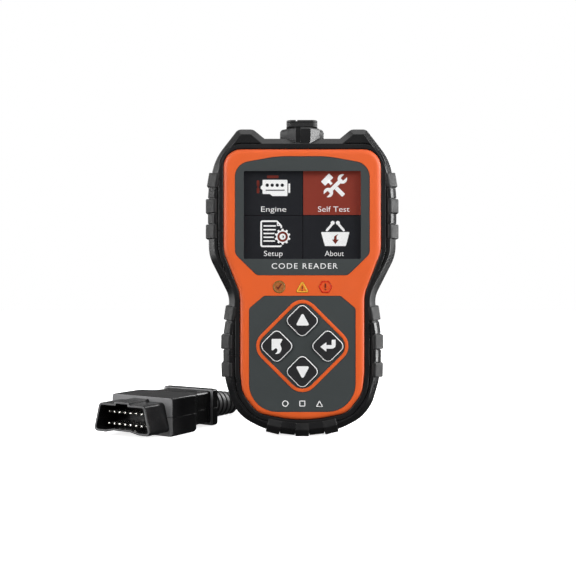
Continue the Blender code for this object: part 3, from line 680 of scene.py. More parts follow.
def studio():
    """A white background that lights the reader only softly, and soft lamps round it."""
    world = bpy.data.worlds.new("studio")
    bpy.context.scene.world = world
    world.use_nodes = True
    nodes, links = world.node_tree.nodes, world.node_tree.links
    seen = nodes.new("ShaderNodeBackground")
    seen.inputs["Color"].default_value = (1, 1, 1, 1)
    lit = nodes["Background"]
    lit.inputs["Color"].default_value = (1, 1, 1, 1)
    place = nodes.new("ShaderNodeTexCoord")
    split = nodes.new("ShaderNodeSeparateXYZ")
    fade = nodes.new("ShaderNodeMapRange")
    for socket, value in (("From Min", -0.1), ("From Max", 0.9), ("To Min", 0.05), ("To Max", 0.4)):
        fade.inputs[socket].default_value = value
    links.new(place.outputs["Generated"], split.inputs[0])
    links.new(split.outputs["Z"], fade.inputs["Value"])
    links.new(fade.outputs[0], lit.inputs["Strength"])
    mix = nodes.new("ShaderNodeMixShader")
    rays = nodes.new("ShaderNodeLightPath")
    links.new(rays.outputs["Is Camera Ray"], mix.inputs[0])
    links.new(lit.outputs[0], mix.inputs[1])
    links.new(seen.outputs[0], mix.inputs[2])
    links.new(mix.outputs[0], nodes["World Output"].inputs["Surface"])
    bpy.context.scene.view_settings.view_transform = "Standard"
    middle = (0, 0, 0.09)
    softbox("right_rim", (0.78, -0.12, 0.12), middle, 0.15, 0.8, 8.0)
    softbox("left_rim", (-0.8, -0.36, 0.14), middle, 0.12, 0.5, 1.7)
    softbox("left_edge", (-0.85, 0.0, 0.2), middle, 0.1, 0.6, 1.1)
    softbox("right_front", (0.85, -0.85, 0.6), middle, 0.6, 0.6, 8.7)
    softbox("left_front", (-0.9, -0.9, 0.6), middle, 0.6, 0.6, 7.5)
    softbox("top", (0.1, 0.1, 1.1), middle, 0.9, 0.9, 2.2)
    softbox("back_right", (0.7, 0.8, 0.6), middle, 0.6, 0.6, 10.5)
    softbox("back_left", (-0.8, 0.7, 0.4), middle, 0.9, 0.9, 7.5)


def studio_floor():
    """A pale floor with a soft mottle. It takes shadows, but throws no light or reflection on the reader."""
    made = Surface("floor_paper")
    tone = made.mixed(made.ranged(made.noise(60, 3), 0, 1), (0.93, 0.93, 0.93), (0.96, 0.96, 0.96))
    made.link(tone, made.shader.inputs["Base Color"])
    made.shader.inputs["Roughness"].default_value = 0.9
    made.shader.inputs["Specular IOR Level"].default_value = 0.1
    made.shader.inputs["Emission Color"].default_value = (1, 1, 1, 1)
    made.shader.inputs["Emission Strength"].default_value = 0.8
    MATERIALS["floor_paper"] = made.material
    side = 2500
    rings = [[(-side, -side, z), (side, -side, z), (side, side, z), (-side, side, z)] for z in (-2, 0)]
    floor = loft("floor", rings, "floor_paper")
    floor.visible_glossy = False
    floor.visible_diffuse = False


# The boot


def wall_at(points, start, towards):
    """Where the line from start leaves the outline, and the outline's outward normal there."""
    start, towards = Vector(start), Vector(towards)
    for here, after in zip(points, points[1:] + points[:1]):
        edge = after - here
        across = towards.cross(edge)
        if abs(across) < 1e-9:
            continue
        reach = (here - start).cross(edge) / across
        share = (here - start).cross(towards) / across
        if reach > 0 and 0 <= share < 1:
            return start + towards * reach, Vector((edge.y, -edge.x)).normalized()
    raise ValueError("the line misses the outline")


def wrapped(name, start, towards, length, height, rubber, edge, root=-4.9):
    """A block that wraps the boot's wall from its front band to its rear rim."""
    place, normal = wall_at(BOOT_OUTLINE, start, towards)
    if start[0] == towards[0]:
        normal = Vector(towards)  # the outline comes to a point in the middle of the base
    front = BOOT_FRONT - 0.2
    section = [(root, front), (-3.1, front - 0.2 * height), (-1.7 + 0.5 * height, -14.6)]
    section += [(height, -12.4 - 0.4 * height), (height, 14.6), (-1.2, 17.4), (root, 17.4)]
    made = prism(name, section, -length / 2, length / 2, edge, rubber)
    turn = Matrix.Rotation(-math.atan2(normal.y, normal.x), 4, "Y")
    return moved(made, Matrix.Translation(Vector((place.x, 0, place.y)) * MM) @ turn)


def ribs():
    """The textured ribs on the sides and the feet under the base, with a smooth pad between each two."""
    made = []
    for group, pad_length in zip(RIBS, PAD_LENGTHS):
        for side in (1, -1):
            for z in group:
                made.append(wrapped("rib", (0, z), (side, 0), RIB_LENGTH, RIB_HEIGHT, "rib_rubber", 0.55))
            for z in ((group[0] + group[1]) / 2, (group[1] + group[2]) / 2):
                made.append(wrapped("pad", (0, z), (side, 0), pad_length, 0.35, "boot_rubber", 0.3))
    for x in FOOT_PLACES:
        height = 0.9 if x == 0 else 1.2
        made.append(wrapped("foot", (x, 60), (0, -1), FOOT_LENGTH, height, "rib_rubber", 0.45, -6.9))
    for x in FOOT_PAD_PLACES:
        made.append(wrapped("foot_pad", (x, 60), (0, -1), FOOT_PAD_LENGTH, 0.7, "boot_rubber", 0.25, -6.7))
    return made


def boot_bands():
    """The outer band with its chamfers, the lip round the face, the flats and the rear rim."""
    outer = [(-4.3, -14.2), (-4.3, -15.35), (-4.2, -15.52), (-4.0, -15.6), (-3.75, -15.6), (-3.45, -15.52)]
    outer += [(-3.2, -15.3), (-0.5, -12.6), (-0.2, -12.2), (-0.05, -11.8), (0, -11.3)]
    outer += [(0, 14.9), (-0.08, 15.3), (-0.3, 15.7), (-2.2, 17.6), (-2.6, 17.88)]
    outer += [(-3.1, BOOT_BACK), (-3.8, BOOT_BACK), (-3.8, 15)]
    lip = [(0.4, -13), (0.4, -15.05), (0.5, -15.35), (0.75, -15.53), (1.05, -15.56), (2.7, -15.56)]
    lip += [(2.9, -15.5), (3.05, -15.35), (3.1, -15.1), (3.1, -13)]
    rim = [(-2.2, 14), (-2.2, 17.4), (-2.1, 17.75), (-1.85, 17.94), (-1.5, BOOT_BACK), (-0.4, BOOT_BACK)]
    rim += [(-0.4, 14)]
    front_flat = plate("front_flat", [grown(BOOT_OUTLINE, -3.6)], -15.58, -14, "boot_rubber")
    cut(front_flat, plate("groove", [grown(FACE_OUTLINE, 3.9)], -CLEAR, CLEAR))
    floor = [grown(BOOT_OUTLINE, -4.1), grown(FACE_OUTLINE, 0.6)]
    rear = [grown(BOOT_OUTLINE, -3.4), grown(HOUSING_OUTLINE, -0.8)]
    return [
        skin("outer_band", BOOT_OUTLINE, outer, "boot_rubber", loop=True),
        skin("lip", FACE_OUTLINE, lip, "boot_rubber", loop=True),
        front_flat,
        plate("groove_floor", floor, -14.6, -13.5, "boot_rubber"),
        plate("rear_flat", rear, 15, 17.98, "boot_rubber"),
        skin("rear_rim", HOUSING_OUTLINE, rim, "boot_rubber", loop=True),
    ]


def collar_column():
    """The faceted column in front of the outlet, narrower at its foot, with a groove down its middle."""
    levels = [(160.5, 0.78, -15.3), (165.0, 1.0, -15.4)]
    levels += [(BROW_TOP - 0.7, 1.0, -15.4), (BROW_TOP, 0.93, -14.8)]
    rings = []
    for z, width, front in levels:
        points = ((-8.2, -8.5), (-8.2, -11.8), (-3.6, front), (4.6, front), (9.8, -11.4), (9.8, -8.5))
        rings.append([(x * width, y, z) for x, y in points])
    column = loft("collar_front", rings, "boot_rubber")
    return cut(column, block("column_groove", (-3.5, -20, 159), (-0.9, -14.6, 175), 0.1))


def collar():
    """The faceted collar round the cable outlet, with a bevel towards its top."""
    bore = OUTLET_RADIUS + 0.35
    top = COLLAR_TOP
    profile = [(bore, COLLAR_FOOT), (COLLAR_RADIUS, COLLAR_FOOT), (COLLAR_RADIUS, top - 1.7)]
    profile += [(12.35, top - 1.2), (11.6, top - 0.35), (11.2, top - 0.07), (10.7, top)]
    profile += [(bore + 0.4, top), (bore + 0.1, top - 0.1), (bore, top - 0.4)]
    rings = []
    for radius, height in profile:
        if radius > bore + 0.6:
            corner = radius / math.cos(math.pi / 8)
            points = polygon(8, corner, 1.6, 22.5)
        else:
            points = circle(radius, sides=56)
        rings.append([(p.x, p.y, height) for p in points])
    ring = loft("collar_ring", rings, "boot_rubber", loop=True)
    slot = block("spout_slot", (-5.3, 2, SPOUT_Z - 4.8), (5.3, 20, 176), 0.3)
    return [collar_column(), cut(ring, slot)]


def boot():
    placed(assembled("boot_shell", boot_bands() + ribs() + collar()), "boot_rubber", "rubber_boot")


# The shells


def front_shell():
    """The orange shell: a rolled edge round a flat face, with recesses for what is let into it."""
    sections = [(-0.8, FACE_BACK), (-0.8, -1), (1.6, -1), (1.6, -13.5), (1.4, -13.7), (0.25, -13.7)]
    sections += [(0.25, -15.1), (0.2, -15.6), (-0.1, -16.15), (-0.65, -16.6), (-1.4, -16.85)]
    sections += [(-2.2, -16.96), (-3.1, FACE)]
    shell = skin("front_shell", FACE_OUTLINE, sections, "orange_plastic", sharp=40)
    keys = [shifted(grown(KEY_OUTLINE, 1.3), *place) for place in KEY_PLACES.values()]
    lights = [light_outline(name, -0.12) for name in LIGHTS]
    cut(
        shell,
        plate("screen_recess", [grown(SCREEN_OVERLAY, 0.14)], -CLEAR, -14.5),
        plate("keypad_recess", [grown(KEYPAD_OVERLAY, 0.14)], -CLEAR, -15.1),
        plate("screen_opening", [rectangle(66, 50, 1.5, (0, SCREEN_Z))], -CLEAR, -10),
        plate("openings", keys + lights, -CLEAR, -10),
    )
    placed(shell, "orange_plastic", "front_housing")


def rear_shell():
    """The black back: a raised panel with a label recess, screw wells and grip grooves."""
    sections = [(-1.0, -0.7), (0, -0.7), (0, 13.7), (-2.5, 13.7), (-2.5, 15.1), (-2.65, 15.6), (-3.0, 15.95)]
    sections += [(-3.5, 16.14), (-4.2, HOUSING_BACK)]
    shell = skin("rear_shell", HOUSING_OUTLINE, sections, "rear_plastic", sharp=40)
    label = rectangle(*LABEL_SIZE, 3, (0, LABEL_Z))
    wells = [circle(SCREW_WELL_RADIUS, place, 36) for place in SCREW_PLACES]
    grooves = [rectangle(34, 1.5, 0.7, (0, 36 + 4.2 * row)) for row in range(7)]
    cut(
        shell,
        plate("label_recess", [label], 15.6, CLEAR),
        plate("wells", wells, 9, CLEAR),
        plate("grooves", grooves, 15.5, CLEAR),
    )
    placed(shell, "rear_plastic", "rear_housing")


def housing_screws():
    """The four cross-head screws, each turned to a different angle."""
    profile = ((0, -8), (0.5, -8), (1.3, -7), (1.3, 9.3), (2.7, 9.3), (2.8, 9.4), (2.8, 10.4), (2.6, 10.8))
    profile += ((2.1, 11.05), (1.6, 11.1), (0, 11.1))
    for number, (x, z) in enumerate(SCREW_PLACES, 1):
        screw = lathe("screw", profile, "screw_steel", sides=32)
        bars = [stroke((-1.1, 0), (1.1, 0), 0.5), stroke((0, -1.1), (0, 1.1), 0.5)]
        for bar in bars:
            cut(screw, plate("cross", [bar], 9.9, 12, axis="Z"))
        screw.name = f"screw_{number}"
        turn = Matrix.Rotation(math.radians(-90), 4, "X")
        moved(screw, Matrix.Translation((x * MM, 0, z * MM)) @ turn @ Matrix.Rotation(0.5 * number, 4, "Z"))
        placed(screw, "screw_steel", f"housing_screw_{number}")


# The display


def at_level(outlines, layer=1, material="icon_white"):
    """A thin layer of the display's picture, the higher ones in front."""
    level = DISPLAY_FRONT - 0.02 - 0.05 * layer
    return plate("layer", outlines, level - 0.05, DISPLAY_FRONT + 0.1, material)


def engine_icon():
    """An engine block with its fan, and red marks above and in front of it."""
    body = [(-22.1, 135.2, 0.6), (-18.0, 135.2, 0.2), (-16.6, 134.05, 0.3), (-8.2, 134.05, 0.6)]
    body += [(-8.2, 143.1, 0.6), (-22.1, 143.1, 0.6), (-22.1, 140.2, 0), (-23.1, 139.4, 0.3)]
    body += [(-23.1, 138.2, 0.3), (-22.1, 137.4, 0)]
    dots = [circle(0.95, (x, 140.1), 20) for x in (-19.5, -16.7, -13.9, -11.1)]
    line = rectangle(10.6, 0.6, 0.2, (-15.1, 137.3))
    fan = rectangle(1.0, 5.2, 0.3, (-7.2, 138.4))
    red = [rectangle(6.4, 1.5, 0.3, (-16.4, 144.8)), rectangle(1.5, 3.2, 0.6, (-24.6, 141.2))]
    red += [rectangle(1.5, 3.0, 0.6, (-24.6, 137.1)), rectangle(0.7, 2.4, 0.2, (-24.6, 139.2))]
    white = [at_level([rounded(body, 4), *dots, line]), at_level([fan])]
    return white + [at_level([one], 1, "icon_red") for one in red]


def spanner(middle_high, middle_low, radius, width):
    """The outline of an open-ended spanner with a jaw at each end, drawn from arcs and straight sides."""
    high, low = Vector(middle_high), Vector(middle_low)
    along = (high - low).normalized()
    points = []
    for middle, forward in ((high, along), (low, -along)):
        across = Vector((-forward.y, forward.x))
        start = math.asin(width / 2 / radius)
        mouth = math.radians(24)
        for first, last in ((math.pi - start, mouth), (-mouth, -math.pi + start)):
            for part in range(11):
                turn = first + (last - first) * part / 10
                points.append(middle + forward * radius * math.cos(turn) + across * radius * math.sin(turn))
            if first > 0:
                inner = [(0.45, 0.42), (-0.15, 0.36), (-0.15, -0.36), (0.45, -0.42)]
                points += [middle + radius * (forward * a + across * b) for a, b in inner]
    return points


def tools_icon():
    """A hammer crossed by a spanner."""
    head = shifted(turned_by(rectangle(6.4, 3.3, 0.35), 45), 13.9, 143.2)
    neck = shifted(turned_by(rectangle(2.4, 1.5, 0.1), -45), 15.6, 141.5)
    handle = shifted(turned_by(rectangle(6.0, 2.3, 0.4), -45), 21.0, 136.5)
    shape = spanner((22.4, 143.6), (14.6, 136.0), 2.65, 2.1)
    return [
        at_level([head]),
        at_level([neck]),
        at_level([handle]),
        at_level([grown(shape, 0.4)], 1.5, "tile_red"),
        at_level([shape], 2.5),
    ]


def gear(middle, radius, teeth):
    """The outline of a gear wheel."""
    points = []
    for tooth in range(teeth):
        for share, reach in ((0.0, 0.8), (0.22, 0.82), (0.32, 1.0), (0.68, 1.0), (0.78, 0.82)):
            turn = math.tau * (tooth + share) / teeth
            points.append(Vector((reach * radius * math.cos(turn), reach * radius * math.sin(turn))))
    return shifted(points, *middle)


def document_icon():
    """A page of lines with a folded corner, and a gear wheel over its edge."""
    page = [(-23.3, 105.6, 1.2), (-11.2, 105.6, 1.2), (-11.2, 117.6, 0.4), (-13.9, 120.5, 0.4)]
    page = rounded([*page, (-23.3, 120.5, 1.2)], 5)
    inside = [(-22.4, 106.5, 0.4), (-12.1, 106.5, 0.4), (-12.1, 117.2, 0), (-14.3, 119.6, 0)]
    inside = rounded([*inside, (-22.4, 119.6, 0.4)], 5)
    fold = [Vector((-14.1, 120.3)), Vector((-14.1, 117.4)), Vector((-11.3, 117.4))]
    lines = [rectangle(6.9, 0.75, 0.1, (-18.1, 117.4 - 2.1 * row)) for row in range(5)]
    middle = (-10.9, 111.4)
    arc = [math.pi * part / 10 for part in range(11)]
    half = [Vector(middle) + Vector((0.8 * math.sin(k), 0.8 * math.cos(k))) for k in arc]
    return [
        at_level([page, inside]),
        at_level(lines),
        at_level([fold, grown(fold, -0.5)], 1.4),
        at_level([circle(4.9, middle)], 1.8, "tile_dark"),
        at_level([gear(middle, 4.4, 10)], 2.6),
        at_level([circle(2.9, middle), circle(1.7, middle)], 3.4, "icon_red"),
        at_level([half], 3.4, "tile_dark"),
    ]


def basket_icon():
    """A basket with two handles and an arrow cut into its front."""
    body = rounded([(12.7, 106.2, 0.3), (24.3, 106.2, 0.3), (26.4, 114.0, 0.3), (10.5, 114.0, 0.3)], 3)
    arrow = [(18.5, 107.3, 0), (20.4, 109.8, 0), (19.3, 109.8, 0), (19.1, 111.4, 1.5), (20.2, 112.9, 0)]
    arrow = rounded([*arrow, (17.9, 111.8, 1.2), (17.6, 109.8, 0), (16.6, 109.8, 0)], 4)
    handles = [stroke((13.8, 115.0), (16.6, 118.3), 1.3), stroke((23.1, 115.0), (20.3, 118.3), 1.3)]
    knobs = [circle(1.12, (17.0, 119.1), 24), circle(1.12, (19.9, 119.1), 24)]
    return [
        at_level([body, arrow]),
        at_level([grown(arrow, -0.02)], 1, "icon_red"),
        *[at_level([one]) for one in handles],
        *[at_level([one], 1.4) for one in knobs],
    ]


def lettering(text, size, middle, front, thickness, material, spacing=1.0, width=None, weight=0.0):
    """Flat lettering centred on a place in the face, thick enough to be a solid."""
    curve = bpy.data.curves.new("lettering", "FONT")
    curve.body = text
    curve.size = size * MM
    curve.space_character = spacing
    curve.align_x = "CENTER"
    curve.align_y = "CENTER"
    curve.extrude = thickness / 2 * MM
    curve.offset = weight * MM
    curve.resolution_u = 4
    place = Matrix.Translation((middle[0] * MM, (front + thickness / 2) * MM, middle[1] * MM))
    made = from_curve("lettering", curve, place @ FACING["Y"], material)
    if width:
        spots = [spot.co.x for spot in made.data.vertices]
        scale = width * MM / (max(spots) - min(spots))
        centre = Matrix.Translation((middle[0] * MM, 0, 0))
        moved(made, centre @ Matrix.Diagonal((scale, 1, 1, 1)) @ centre.inverted())
    return made


def tiles():
    """The four tiles of the picture, the upper right one red."""
    x, z = TILE_CORNER
    reach_x, reach_z = SCREEN_SIZE[0] / 2 + 1, SCREEN_SIZE[1] / 2 + 1
    made = []
    for x0, x1 in ((-reach_x, x - TILE_GAP), (x + TILE_GAP, reach_x)):
        for z0, z1 in ((SCREEN_Z - reach_z, z - TILE_GAP), (z + TILE_GAP, SCREEN_Z + reach_z)):
            colour = "tile_red" if x0 > 0 and z0 > z else "tile_dark"
            tile = rectangle(x1 - x0, z1 - z0, 0.1, ((x0 + x1) / 2, (z0 + z1) / 2))
            made.append(at_level([tile], 0, colour))
    return made


def captions():
    """The word under each icon: its middle, and its width."""
    words = (("Engine", -16.0, 126.6, 14.0), ("Self Test", 17.5, 126.6, 17.6))
    words += (("Setup", -16.1, 101.9, 10.4), ("About", 17.9, 101.9, 10.6))
    front = DISPLAY_FRONT - 0.12
    return [
        lettering(text, PRINT_HEIGHT, (x, z), front, 0.1, "icon_white", width=wide, weight=-0.03)
        for text, x, z, wide in words
    ]


def display():
    """The display with its picture of four tiles, behind its clear lens."""
    module = rectangle(*MODULE_SIZE, 1, (0, SCREEN_Z))
    pieces = [plate("base", [module], DISPLAY_FRONT, DISPLAY_BACK, "display_glass")]
    pieces += tiles() + engine_icon() + tools_icon() + document_icon() + basket_icon() + captions()
    placed(assembled("display_picture", pieces), "display_glass", "display_panel")


# The face


def screen_overlay():
    """The grey panel round the window, with the reader's name, and the clear lens under it."""
    window = rectangle(*SCREEN_SIZE, 0.7, (0, SCREEN_Z))
    outlines = [grown(SCREEN_OVERLAY, -0.1), grown(window, 0.1)]
    panel = plate("screen_panel", outlines, OVERLAY_TOP, -16.3, "overlay_grey", edge=0.1)
    front = OVERLAY_TOP - 0.04
    text = lettering("CODE READER", PRINT_HEIGHT, (1.2, 94.8), front, 0.1, "print_white", 1.2, 36.5)
    placed(assembled("screen_surround", [panel, text]), "overlay_grey", "screen_overlay")
    lens = plate("screen_window", [SCREEN_OVERLAY], LENS_FRONT, LENS_BACK, "clear_acrylic")
    placed(lens, "clear_acrylic", "screen_lens")


def bottom_marks():
    """A plain ring, square and triangle, printed under the keys."""
    marks = [circle(1.75, (-9.4, MARKS_Z)), circle(1.25, (-9.4, MARKS_Z))]
    marks += [rectangle(3.3, 3.3, 0.5, (0, MARKS_Z)), rectangle(2.3, 2.3, 0.2, (0, MARKS_Z))]
    triangle = shifted(polygon(3, 2.4, 0.3, 90), 9.5, 18.3)
    marks += [triangle, grown(triangle, -0.55)]
    return plate("marks", marks, OVERLAY_TOP - 0.04, OVERLAY_TOP + 0.05, "print_white")


def keypad_overlay():
    """The grey panel round the keys, with a groove for the accent ring, and the ring."""
    ring = shifted(polygon(4, RING_HALF_SIDE * math.sqrt(2), RING_CORNER), 0, KEYPAD_Z)
    panel = plate("keypad_panel", [grown(KEYPAD_OVERLAY, -0.1)], OVERLAY_TOP, -15.4, "overlay_grey", edge=0.1)
    holes = [shifted(grown(KEY_OUTLINE, 0.22), *place) for place in KEY_PLACES.values()]
    groove = [grown(ring, 0.1), grown(ring, -RING_WIDTH - 0.1)]
    cut(panel, plate("holes", holes, -CLEAR, -10), plate("groove", groove, -CLEAR, -16.2))
    placed(assembled("keypad_surround", [panel, bottom_marks()]), "overlay_grey", "keypad_overlay")
    profile = [(0, -16.3), (0, -16.85), (-0.12, -17.02), (-0.4, -17.1), (-1.5, -17.1), (-1.78, -17.02)]
    profile += [(-1.9, -16.85), (-1.9, -16.3)]
    placed(skin("accent_ring", ring, profile, "ring_orange", loop=True), "ring_orange", "keypad_ring")


def key_symbols():
    """The outline of each key's symbol, by key."""
    up = rounded([(-3.7, 62.1, 0.7), (4.0, 62.1, 0.7), (0.15, 69.3, 0.8)], 5)
    down = rounded([(-3.7, 39.6, 0.7), (0.15, 32.4, 0.8), (4.0, 39.6, 0.7)], 5)
    back = [(-16.95, 48.7, 0.6), (-16.3, 48.3, 0.1), (-14.5, 50.0, 0.9), (-13.7, 49.0, 1.0)]
    back += [(-13.9, 47.3, 1.5), (-15.2, 46.4, 0.1), (-12.6, 46.5, 1.9), (-11.3, 49.1, 1.9)]
    back += [(-12.3, 51.8, 0.3), (-11.0, 54.2, 0.1), (-11.2, 54.7, 0.2), (-16.95, 54.7, 0.5)]
    enter = [(9.9, 50.35, 0.15), (13.3, 47.6, 0.2), (13.3, 49.3, 0.1), (18.4, 49.3, 2.2), (18.4, 54.3, 0.3)]
    enter += [(16.2, 54.3, 0.3), (16.2, 51.3, 0.1), (13.3, 51.3, 0.1), (13.3, 52.9, 0.2)]
    return {"up": up, "down": down, "back": rounded(back, 5), "enter": rounded(enter, 5)}


def keys():
    """The keys: a rounded cap with a printed rim and a printed symbol, on a flange and a plunger."""
    sections = [(1.0, -12.1), (1.0, -13.1), (0, -13.1), (0, -17.45), (-0.06, -17.7), (-0.16, -17.86)]
    sections += [(-0.58, -17.97), (-0.85, KEY_TOP), (-2.9, -17.94)]
    bands = [0, 0, 0, 0, 0, 1, 0, 0, 0]
    plunger_profile = ((0, -12.4), (2.5, -12.4), (2.5, -11.1), (2.3, -10.9), (0, -10.9))
    symbols = key_symbols()
    for name, place in KEY_PLACES.items():
        cap = skin("cap", shifted(KEY_OUTLINE, *place), sections, "key_rubber", "print_white", bands=bands)
        symbol = plate("symbol", [symbols[name]], KEY_TOP - 0.05, KEY_TOP + 0.3, "print_white")
        foot = (place[0], 0, place[1])
        plunger = lathe("plunger", plunger_profile, "key_rubber", middle=foot, axis="Y", sides=32)
        piece = assembled(f"keycap_{name}", [cap, symbol, plunger])
        placed(piece, "key_rubber", f"key_{name}", body=f"key_{name}")


def exclamation(x, z, scale):
    """The outlines of an exclamation mark: its bar and its dot."""
    bar = rectangle(0.62 * scale, 2.2 * scale, 0.2 * scale, (x, z + 0.55 * scale))
    return [bar, circle(0.38 * scale, (x, z - 1.25 * scale), 16)]


def status_lights():
    """The three tinted lights: a rim, a domed face and a small mark on each."""
    check = [(-14.5, 83.4, 0.1), (-13.3, 81.9, 0.1), (-11.2, 84.9, 0.1), (-11.8, 85.2, 0.1)]
    marks = {
        "ready": [rounded([*check, (-13.4, 82.9, 0.2), (-14.1, 83.8, 0.1)], 3)],
        "caution": exclamation(0, 82.5, 0.85),
        "fault": exclamation(LIGHT_SPACING, LIGHT_Z, 1.15),
    }
    for name in LIGHTS:
        levels = ((0, -11.5), (0, -16.9), (0.08, -17.05), (0.2, LIGHT_TOP), (0.62, LIGHT_TOP), (0.75, -17.06))
        rings = [[(p.x, y, p.y) for p in light_outline(name, inset)] for inset, y in levels]
        lens = loft("lens", rings, f"lens_{name}", f"{name}_face", bands=[0, 0, 0, 0, 0, 1])
        mark = plate("mark", marks[name], -17.16, -16.9, "mark_dark")
        placed(assembled(f"light_{name}", [lens, mark]), f"lens_{name}", f"status_lens_{name}")


# The cable and its outlet


def outlet_stub():
    """The upright part: a neck in the collar, and a notched square head above it."""
    edge = OUTLET_RADIUS
    profile = [(0, 152.5), (10.3, 152.5), (10.3, 155), (edge, 155), (edge, 171.9), (edge - 0.1, 172.2)]
    profile += [(edge - 0.5, 172.4), (edge - 0.5, 174.5), (0, 174.5)]
    neck = lathe("neck", profile, "relief_rubber")
    low, high = COLLAR_TOP + 0.55, OUTLET_TOP
    outline = rectangle(OUTLET_WIDTH, OUTLET_WIDTH, 3)
    levels = [(-0.6, low), (0, low + 0.5), (0, high - 1.9), (-0.15, high - 1.7), (-0.15, high - 1.4)]
    levels += [(0, high - 1.2), (0, high - 0.3), (-0.1, high - 0.1), (-0.35, high)]
    rings = [[(p.x, p.y, z) for p in grown(outline, offset)] for offset, z in levels]
    head = loft("head", rings, "relief_rubber")
    cut(head, block("notch", (-3.5, -9.5, high - 0.7), (-2.7, 9.5, high + 1), 0.1))
    return assembled("stub", [neck, head])


def outlet_spout():
    """The ribbed spout that guides the cable out to the back."""
    profile = [(0, 3), (4.7, 3), (4.6, 8)]
    for ring in range(5):
        start = 8.5 + 4.2 * ring
        radius = 4.75 - 0.17 * ring
        profile += [(radius - 0.5, start), (radius - 0.5, start + 0.9), (radius - 0.1, start + 1.2)]
        profile += [(radius, start + 1.5), (radius - 0.03, start + 3.6), (radius - 0.15, start + 3.9)]
    profile += [(3.7, SPOUT_END), (0, SPOUT_END)]
    return lathe("spout", profile, "relief_rubber", middle=(0, 0, SPOUT_Z), axis="Y", sides=40)


def outlet():
    """The moulded strain relief in the top of the reader."""
    relief = assembled("reader_relief", [outlet_stub(), outlet_spout()])
    return placed(relief, "relief_rubber", "reader_strain_relief")


def plug_point(x, y, z):
    return tuple(PLUG_FRAME @ (Vector((x, y, z)) * MM) / MM)


def coil_points():
    """The turns of the coil, each lying on the one below it, in steps from the top to the floor."""
    steps = 150
    pitch = 2 * CABLE_RADIUS
    top = COIL_LIFT + CABLE_RADIUS + pitch * COIL_TURNS
    points = []
    for step in range(steps + 1):
        turn = math.radians(-90 + 360 * COIL_TURNS * step / steps)
        x = COIL_CENTRE[0] + COIL_RADIUS * math.cos(turn)
        y = COIL_CENTRE[1] + COIL_RADIUS * math.sin(turn)
        points.append((x, y, top - pitch * COIL_TURNS * step / steps))
    return points


def cable_route():
    """The cable's centre line from the outlet to the plug, in millimetres."""
    fall = math.tan(math.radians(RELIEF_TILT))
    end = []
    for y in (RELIEF_END + 5, RELIEF_END, RELIEF_END - 6, RELIEF_END - 12):
        end.append(plug_point(0, y, PLUG_SPLIT - fall * (y - PLUG_LENGTH)))
    return smooth_route(DROP, 3) + coil_points()[2:-2] + smooth_route((*LEAD, *end), 3)


def cable(with_pieces):
    """The whole cable as one curve. The pieces handed to it are not used."""
    curve = bpy.data.curves.new("cable", "CURVE")
    curve.dimensions = "3D"
    curve.bevel_depth = CABLE_RADIUS * MM
    curve.bevel_resolution = 6
    curve.use_fill_caps = True
    route = cable_route()
    spline = curve.splines.new("POLY")
    spline.points.add(len(route) - 1)
    for spot, point in zip(spline.points, route):
        spot.co = (*(Vector(point) * MM), 1)
    spline.use_smooth = True
    curve.materials.append(MATERIALS["cable_jacket"])
    made = bpy.data.objects.new("cable", curve)
    bpy.context.scene.collection.objects.link(made)
    placed(made, "cable_jacket", "cable_drop", "cable_coil", "cable_lead")


def coil_tie():
    """A woven strap round the coil, its end laid over itself."""
    inner, outer = COIL_RADIUS - CABLE_RADIUS, COIL_RADIUS + CABLE_RADIUS
    top = COIL_LIFT + 2 * CABLE_RADIUS * (COIL_TURNS + 1)
    middle = ((inner + outer) / 2, (top + COIL_LIFT) / 2)
    hole = rectangle(outer - inner + 1.2, top - COIL_LIFT + 0.6, 1.6, middle)
    y = COIL_CENTRE[1]
    half = TIE_WIDTH / 2
    profile = [(0, y - half), (0.45, y - half), (0.55, y - half + 0.15)]
    profile += [(0.55, y + half - 0.15), (0.45, y + half), (0, y + half)]
    strap = skin("strap", hole, profile, "tie_strap", loop=True)
    low, high = (outer + 0.7, y - half + 0.3, 6), (outer + 1.15, y + half - 0.3, 16)
    flap = block("flap", low, high, 0.15, "tie_strap")
    return placed(assembled("tie", [strap, flap]), "tie_strap", "coil_tie")


# The plug


def in_plug(piece):
    return moved(piece, PLUG_FRAME)


